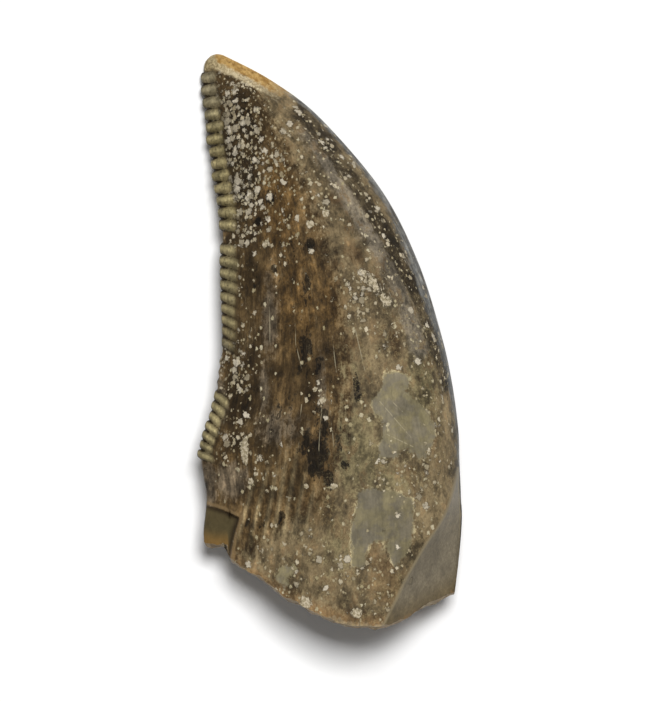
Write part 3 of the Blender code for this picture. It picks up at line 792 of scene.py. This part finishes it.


# Mineral flecks: scattered flakes of uneven outline, more of them where Share is high. Halo is a ring of
# painted shade round each, as beside a raised flake, and Tone is a number from 0 to 1 that differs from
# flake to flake.
FLECK_WANDER = 1.2
FLECK_REACH, FLECK_REACH_SPREAD = 0.36, 0.34
FLECK_SOFTNESS, HALO_WIDTH = 0.16, 0.22
flecks, taken, given = new_group(
    "mineral_flecks",
    (
        ("Place", "Vector", None), ("Size", "Float", 0.15), ("Share", "Float", 0.3),
        ("Stretch", "Float", 1.0), ("Offset", "Float", 0.0),
    ),
    ("Mask", "Halo", "Tone"),
)
frequency = maths(flecks, "DIVIDE", 1.0, taken.outputs["Size"])
cell_place = drawn_out(flecks, taken.outputs["Place"], frequency, taken.outputs["Stretch"])
wander = noise(flecks, cell_place, 2.1, 4.0, 0.65).outputs["Color"]
moved = vector_maths(flecks, "MULTIPLY_ADD", wander, (FLECK_WANDER,) * 3, cell_place)
moved = vector_maths(flecks, "ADD", moved, taken.outputs["Offset"])
cells = add(flecks, "ShaderNodeTexVoronoi", feature="F1")
feed(flecks, cells.inputs["Vector"], moved)
cells.inputs["Scale"].default_value = 1.0
lots = add(flecks, "ShaderNodeSeparateColor")
feed(flecks, lots.inputs[0], cells.outputs["Color"])
from_middle = cells.outputs["Distance"]
chosen = maths(flecks, "LESS_THAN", lots.outputs[0], taken.outputs["Share"])
reach = maths(flecks, "MULTIPLY_ADD", lots.outputs[1], FLECK_REACH_SPREAD, FLECK_REACH)
grown = soft_edge(flecks, from_middle, reach, maths(flecks, "SUBTRACT", reach, FLECK_SOFTNESS))
ring = soft_edge(flecks, from_middle, maths(flecks, "ADD", reach, HALO_WIDTH), reach)
mask = times(flecks, chosen, grown)
feed(flecks, given.inputs["Mask"], mask)
feed(flecks, given.inputs["Halo"], maths(flecks, "SUBTRACT", times(flecks, chosen, ring), mask, clamp=True))
feed(flecks, given.inputs["Tone"], lots.outputs[2])

# Mineral clouds, drawn out along the crown, as groundwater minerals take to the enamel's prisms. The
# values lie about 0, with a spread of about 1.
CLOUD_CONTRAST = 9.0
mottle, taken, given = new_group(
    "mineral_mottle",
    (
        ("Grain", "Vector", None), ("Scale", "Float", 1.0), ("Stretch", "Float", 1.0),
        ("Offset", "Float", 0.0),
    ),
    ("Value",),
)
moved = drawn_out(mottle, taken.outputs["Grain"], taken.outputs["Scale"], taken.outputs["Stretch"])
moved = vector_maths(mottle, "ADD", moved, taken.outputs["Offset"])
cloud = noise(mottle, moved, 1.0, 6.0, 0.66, 0.25).outputs["Fac"]
spread = maths(mottle, "MULTIPLY_ADD", cloud, CLOUD_CONTRAST, -CLOUD_CONTRAST / 2)
feed(mottle, given.inputs["Value"], spread)

# A scratch: the part of the surface within a hair's width of a straight line, seen from above.
scratches, taken, given = new_group(
    "scratch_line",
    (
        ("Place", "Vector", None), ("From", "Vector", None), ("To", "Vector", None),
        ("Half Width", "Float", 0.022),
    ),
    ("Mask",),
)
offset = vector_maths(scratches, "SUBTRACT", taken.outputs["Place"], taken.outputs["From"])
offset = vector_maths(scratches, "MULTIPLY", offset, (1, 1, 0))
whole = vector_maths(scratches, "SUBTRACT", taken.outputs["To"], taken.outputs["From"])
along_it = vector_maths(scratches, "DOT_PRODUCT", offset, whole, output=1)
full_run = vector_maths(scratches, "DOT_PRODUCT", whole, whole, output=1)
nearest = brightened(scratches, whole, maths(scratches, "DIVIDE", along_it, full_run, clamp=True))
away = vector_maths(scratches, "DISTANCE", offset, nearest, output=1)
half_width = taken.outputs["Half Width"]
mask = soft_edge(scratches, away, half_width, times(scratches, half_width, 0.3))
feed(scratches, given.inputs["Mask"], mask)


def new_material(name):
    material = bpy.data.materials.new(name)
    material.use_nodes = True
    return material, material.node_tree, material.node_tree.nodes["Principled BSDF"]


def place_in_mm(tree):
    return vector_maths(tree, "MULTIPLY", add(tree, "ShaderNodeTexCoord").outputs["Object"], (1 / MM,) * 3)


def clouds(tree, place, scale, stretch, offset=0.0):
    return place_group(tree, mottle, Grain=place, Scale=scale, Stretch=stretch, Offset=offset).outputs[0]


def lit_by(tree, colour, strength, value):
    """The colour, brighter by the strength for each 1 that the value rises."""
    return brightened(tree, colour, maths(tree, "POWER", strength, value))


# The enamel's finish. Clouds of several sizes: streaks and hair follow its prisms, the others don't.
enamel, tree, shader = new_material("fossil_enamel")
place = place_in_mm(tree)
prisms = reading(tree, "grain", "Vector")
streaks = clouds(tree, prisms, 3.4, 6.0)
hair = clouds(tree, prisms, 10.0, 12.0, 1.0)
broad = clouds(tree, place, 1.1, 1.8, 3.0)
middling = clouds(tree, place, 2.3, 1.6, 17.0)
fine = clouds(tree, place, 5.0, 1.4, 7.0)
grit = clouds(tree, place, 13.0, 1.2, 11.0)
ragged = plus(tree, times(tree, fine, 0.16), times(tree, streaks, 0.14), times(tree, grit, 0.06))
from_tip_here = reading(tree, "from_tip")
base_in_here = reading(tree, "base_in")
tan_here = reading(tree, "tan_side")


def zone(name, low, high):
    """A stored zone with a ragged border."""
    return soft_edge(tree, plus(tree, reading(tree, name), ragged), low, high)


# Brown on the distal side, tan on the mesial one, each with darker, warmer and greyer parts. The pale grey
# stripe on the shoulder is painted highlight.
MIDDLE_BROWN, DARK_BROWN, WARM_BROWN = srgb(86, 69, 44), srgb(62, 49, 29), srgb(88, 68, 39)
MIDDLE_TAN, OLIVE_TAN, WARM_TAN = srgb(113, 99, 74), srgb(117, 107, 79), srgb(99, 81, 54)
SHOULDER_HIGHLIGHT_GREY, BLOTCH_BROWN, SPOT_BROWN = srgb(121, 112, 97), srgb(88, 70, 47), srgb(78, 60, 38)
WORN_GREY, MESIAL_SHADE_BROWN, STAIN_BLACK = srgb(108, 97, 81), srgb(54, 45, 30), srgb(25, 20, 12)
brown = over_colour(tree, zone("dark", 0.25, 0.75), MIDDLE_BROWN, DARK_BROWN)
brown = over_colour(tree, times(tree, zone("warm", 0.25, 0.85), 0.9), brown, WARM_BROWN)
tan = over_colour(tree, zone("olive", 0.20, 0.80), MIDDLE_TAN, OLIVE_TAN)
tan = over_colour(tree, times(tree, zone("warm", 0.30, 0.85), 0.7), tan, WARM_TAN)
# Painted highlight: a pale grey stripe along the shoulder.
tan = over_colour(tree, times(tree, zone("shoulder_highlight", 0.20, 0.95), 0.95), tan, SHOULDER_HIGHLIGHT_GREY)
blotch = soft_edge(tree, plus(tree, middling, times(tree, fine, 0.4)), 0.45, 0.85)
tan = over_colour(tree, times(tree, blotch, 0.65), tan, BLOTCH_BROWN)
colour = over_colour(tree, zone("tan_side", 0.30, 0.70), brown, tan)
# Of these, the dark mesial stripe is painted shade where the side turns away; the brown spots and grey
# patches are the enamel's own.
for name, low, high, strength, paint in (
    ("brown_spots", 0.35, 0.80, 0.75, SPOT_BROWN),
    ("grey", 0.20, 0.80, 0.7, WORN_GREY),
    ("mesial_shade", 0.32, 0.62, 0.9, MESIAL_SHADE_BROWN),
):
    colour = over_colour(tree, times(tree, zone(name, low, high), strength), colour, paint)
stain = soft_edge(tree, plus(tree, reading(tree, "black_stain"), times(tree, ragged, 1.5)), 0.55, 0.82)
colour = over_colour(tree, times(tree, stain, 0.94), colour, STAIN_BLACK)

# The smooth patches, the spall and the chip are plainer than the rest.
plain_parts = plus(
    tree, times(tree, soft_edge(tree, reading(tree, "patch_depth"), -0.03, 0.03), 0.80),
    times(tree, soft_edge(tree, reading(tree, "spall_in"), -0.02, 0.02), 0.85),
    times(tree, reading(tree, "chip"), 0.85),
)
lively = maths(tree, "SUBTRACT", 1.0, plain_parts, clamp=True)
streaky = maths(tree, "MULTIPLY_ADD", tan_here, -0.80, 1.0)
tone = plus(
    tree, times(tree, streaks, streaky, 0.20), times(tree, fine, 0.16), times(tree, hair, streaky, 0.11),
    times(tree, grit, 0.10), times(tree, broad, 0.27), times(tree, middling, 0.26),
)

# Smooth grey-green patches, where the outer enamel is kept, with a thin pale rim.
PATCH_GREY, PATCH_GREEN, PATCH_RIM = srgb(120, 114, 98), srgb(132, 124, 96), srgb(160, 149, 118)
patch = plus(tree, reading(tree, "patch_depth"), times(tree, fine, 0.06), times(tree, grit, 0.03))
patch_mask = soft_edge(tree, patch, -0.03, 0.03)
patch_cloud = clouds(tree, place, 1.4, 1.0, 21.0)
patch_colour = over_colour(tree, soft_edge(tree, patch_cloud, -0.8, 0.8), PATCH_GREY, PATCH_GREEN)
patch_light = plus(tree, times(tree, middling, 0.6), times(tree, hair, 0.5), times(tree, fine, 0.3))
patch_colour = lit_by(tree, patch_colour, 1.16, patch_light)
patch_colour = brightened(tree, patch_colour, reading(tree, "patch_tone"))
colour = over_colour(tree, times(tree, patch_mask, 0.82), colour, patch_colour)
patch_rim = times(tree, soft_edge(tree, patch, -0.05, -0.01), soft_edge(tree, patch, 0.05, 0.01))
patch_rim = times(tree, patch_rim, soft_edge(tree, broad, -0.4, 0.8))
colour = over_colour(tree, times(tree, patch_rim, 0.8), colour, PATCH_RIM)

# Pale crests of the flutes, and the rusty and cream band along the break.
CREST_TAN, BASE_RUST, BASE_CREAM = srgb(134, 120, 91), srgb(124, 97, 64), srgb(166, 148, 118)
crest = times(tree, reading(tree, "flute"), inverse(tree, stain))
colour = over_colour(tree, times(tree, crest, 0.62), colour, CREST_TAN)
base_edge = plus(tree, base_in_here, times(tree, fine, 0.08), times(tree, middling, 0.10))
base_band = soft_edge(tree, base_edge, 0.70, 0.22)
colour = over_colour(tree, times(tree, base_band, 0.60), colour, BASE_RUST)
cream_rim = soft_edge(tree, base_edge, 0.20, 0.08)
colour = over_colour(tree, times(tree, cream_rim, 0.8), colour, BASE_CREAM)

# Light and dark of the clouds, and a paler, greyer wear where they are lightest.
WORN_PALE = srgb(118, 107, 84)
colour = lit_by(tree, colour, 5.0, plus(tree, times(tree, tone, lively), 0.045))
worn_pale = times(tree, soft_edge(tree, tone, 0.05, 0.45), lively)
worn_pale = times(tree, worn_pale, inverse(tree, base_band), inverse(tree, stain))
worn_share = maths(tree, "MULTIPLY_ADD", tan_here, 0.24, 0.08)
colour = over_colour(tree, times(tree, worn_pale, worn_share), colour, WORN_PALE)

# Pale hairlines along the prisms, and short curls of mineral on the mesial side.
HAIRLINE_TAN, CURL_CREAM = srgb(146, 132, 104), srgb(166, 152, 114)
hairline = maths(tree, "ABSOLUTE", clouds(tree, prisms, 2.6, 26.0, 31.0))
hairline = times(tree, soft_edge(tree, hairline, 0.06, 0.015), soft_edge(tree, broad, 0.1, 0.8), lively)
colour = over_colour(tree, times(tree, hairline, 0.5), colour, HAIRLINE_TAN)
curl = maths(tree, "ABSOLUTE", clouds(tree, place, 4.6, 1.0, 41.0))
curl = times(
    tree, soft_edge(tree, curl, 0.19, 0.06), soft_edge(tree, fine, -0.1, 0.4),
    soft_edge(tree, from_tip_here, 5.0, 10.0), tan_here, lively,
)
colour = over_colour(tree, times(tree, curl, 0.6), colour, CURL_CREAM)

# Fine pale scratches, from and to these places in millimetres.
SCRATCH_CREAM = srgb(168, 158, 132)
for start, end in (
    ((-1.23, 1.28), (-1.19, -0.14)), ((-1.19, -0.14), (-0.99, -0.96)), ((0.07, 0.16), (0.22, -1.10)),
    ((0.88, 0.38), (1.21, -1.03)), ((-0.99, -2.23), (-1.10, -3.72)), ((-0.29, -2.38), (-0.40, -3.94)),
    ((0.02, -2.45), (0.13, -3.65)), ((-2.10, 1.43), (-2.10, -0.06)), ((1.73, -2.12), (2.81, -3.36)),
    ((2.05, -2.02), (2.55, -2.50)), ((1.95, -3.25), (2.90, -3.70)),
):
    scratch = place_group(tree, scratches, Place=place, From=(*start, 0), To=(*end, 0))
    scratch = times(tree, scratch.outputs[0], soft_edge(tree, hair, -0.6, 0.2))
    colour = over_colour(tree, times(tree, scratch, 0.7), colour, SCRATCH_CREAM)

# Flecks of four sizes, in millimetres, with painted shade round the larger ones, and patches of crust.
FLECK_SHADE_BROWN = srgb(36, 29, 18)
clear = inverse(tree, maths(tree, "MINIMUM", plain_parts, 1.0))
few = times(tree, reading(tree, "fleck_share"), clear)
tiny_share = maths(tree, "MINIMUM", times(tree, few, 0.5), 0.20)
small_share = maths(tree, "MINIMUM", times(tree, few, 0.65), 0.55)
large_share, stray_share = times(tree, few, 0.60), times(tree, clear, 0.032)
tiny = place_group(tree, flecks, Place=place, Size=0.085, Share=tiny_share, Stretch=1.2, Offset=2.0)
small = place_group(tree, flecks, Place=place, Size=0.15, Share=small_share, Stretch=1.1)
large = place_group(tree, flecks, Place=place, Size=0.25, Share=large_share, Stretch=1.05, Offset=5.0)
stray = place_group(tree, flecks, Place=place, Size=0.13, Share=stray_share, Stretch=1.2, Offset=9.0)
# Painted shade round the larger flecks, as beside raised flakes.
fleck_shade = times(tree, greater(tree, large.outputs[1], small.outputs[1]), soft_edge(tree, few, 0.3, 0.8))
colour = over_colour(tree, times(tree, fleck_shade, 0.75), colour, FLECK_SHADE_BROWN)
for layer, strength, dull, pale in (
    (tiny, 0.85, srgb(154, 140, 108), srgb(194, 182, 152)),
    (small, 0.92, srgb(152, 139, 112), srgb(206, 194, 168)),
    (large, 0.94, srgb(150, 139, 116), srgb(211, 201, 181)),
    (stray, 0.88, srgb(164, 152, 118), srgb(204, 194, 166)),
):
    layer_colour = over_colour(tree, layer.outputs[2], dull, pale)
    layer_colour = lit_by(tree, layer_colour, 1.25, times(tree, grit, 0.6))
    colour = over_colour(tree, times(tree, layer.outputs[0], strength), colour, layer_colour)
crust_mask = soft_edge(tree, plus(tree, reading(tree, "crust"), times(tree, ragged, 0.9)), 0.50, 0.66)
crust_colour = over_colour(tree, soft_edge(tree, grit, -1, 1), srgb(154, 142, 114), srgb(208, 196, 172))
colour = over_colour(tree, times(tree, crust_mask, 0.9), colour, crust_colour)

# The slate-grey band along the smooth mesial edge, painted as its reflection, with flecks on it.
SLATE = srgb(112, 113, 111)[:3]
sheen_band = soft_edge(tree, plus(tree, reading(tree, "sheen"), times(tree, ragged, 1.0)), 1.15, 0.45)
sheen_gaps = soft_edge(tree, plus(tree, middling, broad), -2.6, -0.2)
sheen_band = times(tree, sheen_band, inverse(tree, base_band), sheen_gaps)
sheen_light = plus(tree, hair, times(tree, fine, 0.8), times(tree, middling, 0.8))
sheen_flecks = greater(tree, small.outputs[0], large.outputs[0], stray.outputs[0])
sheen_share = times(tree, sheen_band, inverse(tree, times(tree, sheen_flecks, 0.7)), 0.88)
colour = over_colour(tree, sheen_share, colour, lit_by(tree, SLATE, 1.5, sheen_light))

# Khaki denticles, each with a painted highlight on its upper side and painted shade in the gaps and grooves
# between them; crust covers some of their inner ends.
GAP_SHADE_DARK, GROOVE_SHADE_BROWN = srgb(42, 34, 20), srgb(50, 40, 24)
DENTICLE_DULL, DENTICLE_PALE = srgb(104, 94, 64), srgb(132, 120, 88)
DENTICLE_MIDDLE_ROW, DENTICLE_NEAR_TIP = srgb(106, 97, 74), srgb(100, 92, 74)
DENTICLE_HIGHLIGHT, DENTICLE_TIP_HIGHLIGHT = srgb(184, 171, 128), srgb(160, 150, 122)
band = reading(tree, "denticle_band")
ridge_mask = reading(tree, "denticle")
crusted = times(tree, greater(tree, large.outputs[0], small.outputs[0]), inverse(tree, band), 0.9)
# Painted shade in the gaps between the denticles and in the grooves that run inwards from them.
between = soft_edge(tree, ridge_mask, 0.75, 0.2)
colour = over_colour(tree, times(tree, band, between, 0.85), colour, GAP_SHADE_DARK)
groove_shade = times(tree, reading(tree, "denticle_groove"), soft_edge(tree, fine, -0.8, 0.5))
colour = over_colour(tree, times(tree, groove_shade, 0.6), colour, GROOVE_SHADE_BROWN)
khaki = over_colour(tree, reading(tree, "denticle_tone"), DENTICLE_DULL, DENTICLE_PALE)
middle_row = soft_edge(tree, from_tip_here, 5.6, 6.6)
khaki = over_colour(tree, times(tree, middle_row, 0.6), khaki, DENTICLE_MIDDLE_ROW)
near_tip = soft_edge(tree, from_tip_here, 3.2, 1.2)
khaki = over_colour(tree, times(tree, near_tip, 0.7), khaki, DENTICLE_NEAR_TIP)
# Painted highlight on the upper side of each denticle.
denticle_highlight_colour = over_colour(tree, near_tip, DENTICLE_HIGHLIGHT, DENTICLE_TIP_HIGHLIGHT)
khaki = over_colour(tree, times(tree, reading(tree, "denticle_highlight"), 0.65), khaki, denticle_highlight_colour)
khaki = lit_by(tree, khaki, 1.8, plus(tree, tone, times(tree, grit, 0.2)))
denticle_share = maths(tree, "MULTIPLY_ADD", band, 0.65, 0.35)
denticle_mask = times(tree, soft_edge(tree, ridge_mask, 0.10, 0.70), inverse(tree, crusted), denticle_share)
colour = over_colour(tree, denticle_mask, colour, khaki)

# The worn tip: ochre along the mesial edge, cream inwards of it, and a cream knob at the very end.
CREAM_DARK, CREAM_LIGHT = srgb(176, 158, 124), srgb(226, 210, 174)
OCHRE_DARK, OCHRE_LIGHT = srgb(158, 122, 64), srgb(206, 170, 106)
KNOB_DARK, KNOB_LIGHT = srgb(140, 124, 88), srgb(204, 186, 144)
tip_edge = plus(tree, reading(tree, "mesial_in"), times(tree, fine, 0.03), times(tree, grit, 0.025))
tip_end = soft_edge(tree, plus(tree, from_tip_here, times(tree, fine, 0.2)), 2.2, 1.1)
tip_mask = times(tree, soft_edge(tree, tip_edge, 0.60, 0.50), tip_end)
tip_core = soft_edge(tree, tip_edge, 0.40, 0.26)
tip_cream = over_colour(tree, soft_edge(tree, grit, -1.2, 1.2), CREAM_DARK, CREAM_LIGHT)
tip_ochre = over_colour(tree, soft_edge(tree, fine, -1.2, 1.2), OCHRE_DARK, OCHRE_LIGHT)
colour = over_colour(tree, times(tree, tip_mask, 0.95), colour, tip_cream)
colour = over_colour(tree, times(tree, tip_mask, tip_core), colour, tip_ochre)
knob = soft_edge(tree, from_tip_here, 0.75, 0.45)
knob_colour = over_colour(tree, soft_edge(tree, grit, -1.2, 1.2), KNOB_DARK, KNOB_LIGHT)
colour = over_colour(tree, times(tree, knob, inverse(tree, tip_core), 0.8), colour, knob_colour)

# The spall: bare grey-brown dentine, rusty at the break, with a painted highlight along its ridge.
SPALL_MIDDLE, SPALL_FOOT, SPALL_HEAD = srgb(121, 112, 94), srgb(108, 95, 70), srgb(138, 131, 118)
SPALL_RUST, SPALL_RIDGE_HIGHLIGHT = srgb(140, 112, 76), srgb(148, 136, 110)
spall = reading(tree, "spall_in")
spall_colour = over_colour(tree, soft_edge(tree, base_in_here, 1.2, 0.1), SPALL_MIDDLE, SPALL_FOOT)
spall_colour = over_colour(tree, soft_edge(tree, base_in_here, 2.4, 4.2), spall_colour, SPALL_HEAD)
spall_colour = lit_by(tree, spall_colour, 1.13, plus(tree, fine, broad, grit))
spall_rim = soft_edge(tree, base_edge, 0.20, 0.05)
spall_colour = over_colour(tree, times(tree, spall_rim, 0.6), spall_colour, SPALL_RUST)
colour = over_colour(tree, soft_edge(tree, spall, -0.01, 0.03), colour, spall_colour)
# Painted highlight along the spall's ridge.
ridge_highlight = times(tree, soft_edge(tree, spall, -0.10, -0.02), soft_edge(tree, spall, 0.08, 0.01))
colour = over_colour(tree, times(tree, ridge_highlight, 0.7), colour, SPALL_RIDGE_HIGHLIGHT)

# The chip: dark olive dentine, ochre at the break, with painted shade just inside its edge under the enamel
# step, and a pale edge of broken enamel round it, lightened further as a painted highlight on its lip.
CHIP_OLIVE, CHIP_OCHRE, CHIP_STEP_SHADE = srgb(88, 78, 54), srgb(128, 102, 60), srgb(60, 50, 34)
CHIP_EDGE_HIGHLIGHT = srgb(142, 120, 86)
chip_edge = reading(tree, "chip_depth")
chip_colour = over_colour(tree, soft_edge(tree, base_in_here, 0.75, 0.15), CHIP_OLIVE, CHIP_OCHRE)
# Painted shade just inside the chip's edge, under the enamel step.
chip_colour = over_colour(tree, soft_edge(tree, chip_edge, 0.22, 0.04), chip_colour, CHIP_STEP_SHADE)
colour = over_colour(tree, reading(tree, "chip"), colour, lit_by(tree, chip_colour, 1.1, fine))
# The pale edge of broken enamel, lightened further as a painted highlight on its lip.
chip_edge_highlight = times(tree, soft_edge(tree, chip_edge, -0.17, -0.08), soft_edge(tree, chip_edge, 0.0, -0.03))
colour = over_colour(tree, times(tree, chip_edge_highlight, 0.65), colour, CHIP_EDGE_HIGHLIGHT)
deepened = add(tree, "ShaderNodeGamma")
feed(tree, deepened.inputs["Color"], colour)
deepened.inputs["Gamma"].default_value = 1.09
feed(tree, shader.inputs["Base Color"], deepened.outputs[0])

# The relief in millimetres: prisms and pits of the enamel, and flakes and crust that stand on it.
relief = plus(tree, times(tree, fine, 0.0045), times(tree, hair, 0.0035), times(tree, grit, 0.0030))
relief = times(tree, relief, maths(tree, "MAXIMUM", lively, 0.15))
relief = plus(
    tree, relief, times(tree, large.outputs[0], 0.034), times(tree, small.outputs[0], 0.022),
    times(tree, tiny.outputs[0], 0.006), times(tree, crust_mask, 0.022),
    times(tree, stray.outputs[0], 0.010), times(tree, patch_mask, -0.012), times(tree, stain, -0.004),
)


def raise_relief(tree, shader, height_mm):
    bump = add(tree, "ShaderNodeBump")
    bump.inputs["Strength"].default_value = 1.0
    bump.inputs["Distance"].default_value = MM
    feed(tree, bump.inputs["Height"], height_mm)
    feed(tree, shader.inputs["Normal"], bump.outputs[0])


raise_relief(tree, shader, relief)
POLISHED_ROUGHNESS = 0.56
dulled = plus(tree, times(tree, fine, 0.05), times(tree, large.outputs[0], 0.2))
dulled = plus(tree, dulled, times(tree, crust_mask, 0.2))
feed(tree, shader.inputs["Roughness"], plus(tree, dulled, POLISHED_ROUGHNESS))
shader.inputs["Specular IOR Level"].default_value = 0.11

# The break's finish: tan dentine, browner in the hollow, with a pale ring of enamel and loose grains.
DENTINE_DARK, DENTINE_LIGHT, HOLLOW_DENTINE = srgb(112, 92, 62), srgb(142, 122, 90), srgb(88, 74, 52)
RIM_CREAM, GRAIN_CREAM = srgb(158, 138, 106), srgb(176, 164, 134)
broken, tree, shader = new_material("broken_dentine")
place = place_in_mm(tree)
patches = clouds(tree, place, 1.6, 1.0, 2.0)
grit = clouds(tree, place, 9.0, 1.0, 4.0)
from_rim = reading(tree, "rim_distance")
colour = over_colour(tree, soft_edge(tree, patches, -1.2, 1.2), DENTINE_DARK, DENTINE_LIGHT)
colour = over_colour(tree, soft_edge(tree, from_rim, 0.7, 1.8), colour, HOLLOW_DENTINE)
colour = lit_by(tree, colour, 1.3, plus(tree, grit, times(tree, patches, 0.5)))
colour = over_colour(tree, times(tree, soft_edge(tree, from_rim, 0.26, 0.18), 0.7), colour, RIM_CREAM)
loose = place_group(tree, flecks, Place=place, Size=0.2, Share=0.14, Stretch=1.0, Offset=2.0).outputs[0]
colour = over_colour(tree, times(tree, loose, 0.7), colour, GRAIN_CREAM)
feed(tree, shader.inputs["Base Color"], colour)
raise_relief(tree, shader, plus(tree, times(tree, grit, 0.006), times(tree, loose, 0.02)))
shader.inputs["Roughness"].default_value = 0.7

tooth_mesh.materials.append(enamel)
tooth_mesh.materials.append(broken)
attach(tooth, "root")
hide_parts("tooth")

# The studio: a plain white sheet that the tooth lies on, one large soft light above and beyond the tip,
# a little to the right, soft white light from all round, and the camera straight above.
FLOOR_HALF = 1.0
FLOOR_BELOW = 0.00002
floor_mesh = bpy.data.meshes.new("floor")
corners = [(x * FLOOR_HALF, y * FLOOR_HALF, 0) for x, y in ((-1, -1), (1, -1), (1, 1), (-1, 1))]
floor_mesh.from_pydata(corners, [], [(0, 1, 2, 3)])
floor = bpy.data.objects.new("floor", floor_mesh)
floor.location.z = -FLOOR_BELOW
bpy.context.scene.collection.objects.link(floor)
paper, _, paper_shader = new_material("white_paper")
paper_shader.inputs["Base Color"].default_value = (0.95, 0.95, 0.95, 1)
paper_shader.inputs["Roughness"].default_value = 0.9
floor_mesh.materials.append(paper)

KEY_SIZE, KEY_WATTS = 0.17, 4.35
KEY_PLACE = (0.056, 0.155, 0.64)
ROOM_LIGHT = 0.17
key = bpy.data.lights.new("key_light", "AREA")
key.shape = "SQUARE"
key.size = KEY_SIZE
key.energy = KEY_WATTS
key_lamp = bpy.data.objects.new("key_light", key)
key_lamp.location = KEY_PLACE
key_lamp.rotation_euler = (-key_lamp.location).to_track_quat("-Z", "Y").to_euler()
bpy.context.scene.collection.objects.link(key_lamp)

world = bpy.data.worlds.new("studio")
world.use_nodes = True
world.node_tree.nodes["Background"].inputs["Color"].default_value = (1, 1, 1, 1)
world.node_tree.nodes["Background"].inputs["Strength"].default_value = ROOM_LIGHT
bpy.context.scene.world = world
bpy.context.scene.view_settings.view_transform = "Standard"

# The photograph is 665 x 702 pixels, and each shows 0.035 mm of the tooth's edges.
PICTURE_HEIGHT = 702
PIXEL_MM = 0.035
LENS_MM, SENSOR_MM = 500, 36
CARINA_HEIGHT = 0.0022
FRAME_MIDDLE = (0.0000875, -0.0003675)
camera = bpy.data.objects.new("camera", bpy.data.cameras.new("camera"))
camera.data.lens = LENS_MM
camera.data.sensor_width = SENSOR_MM
camera.data.clip_start = 0.005
camera.location = (*FRAME_MIDDLE, CARINA_HEIGHT + PICTURE_HEIGHT * PIXEL_MM * MM * LENS_MM / SENSOR_MM)
bpy.context.scene.collection.objects.link(camera)
bpy.context.scene.camera = camera
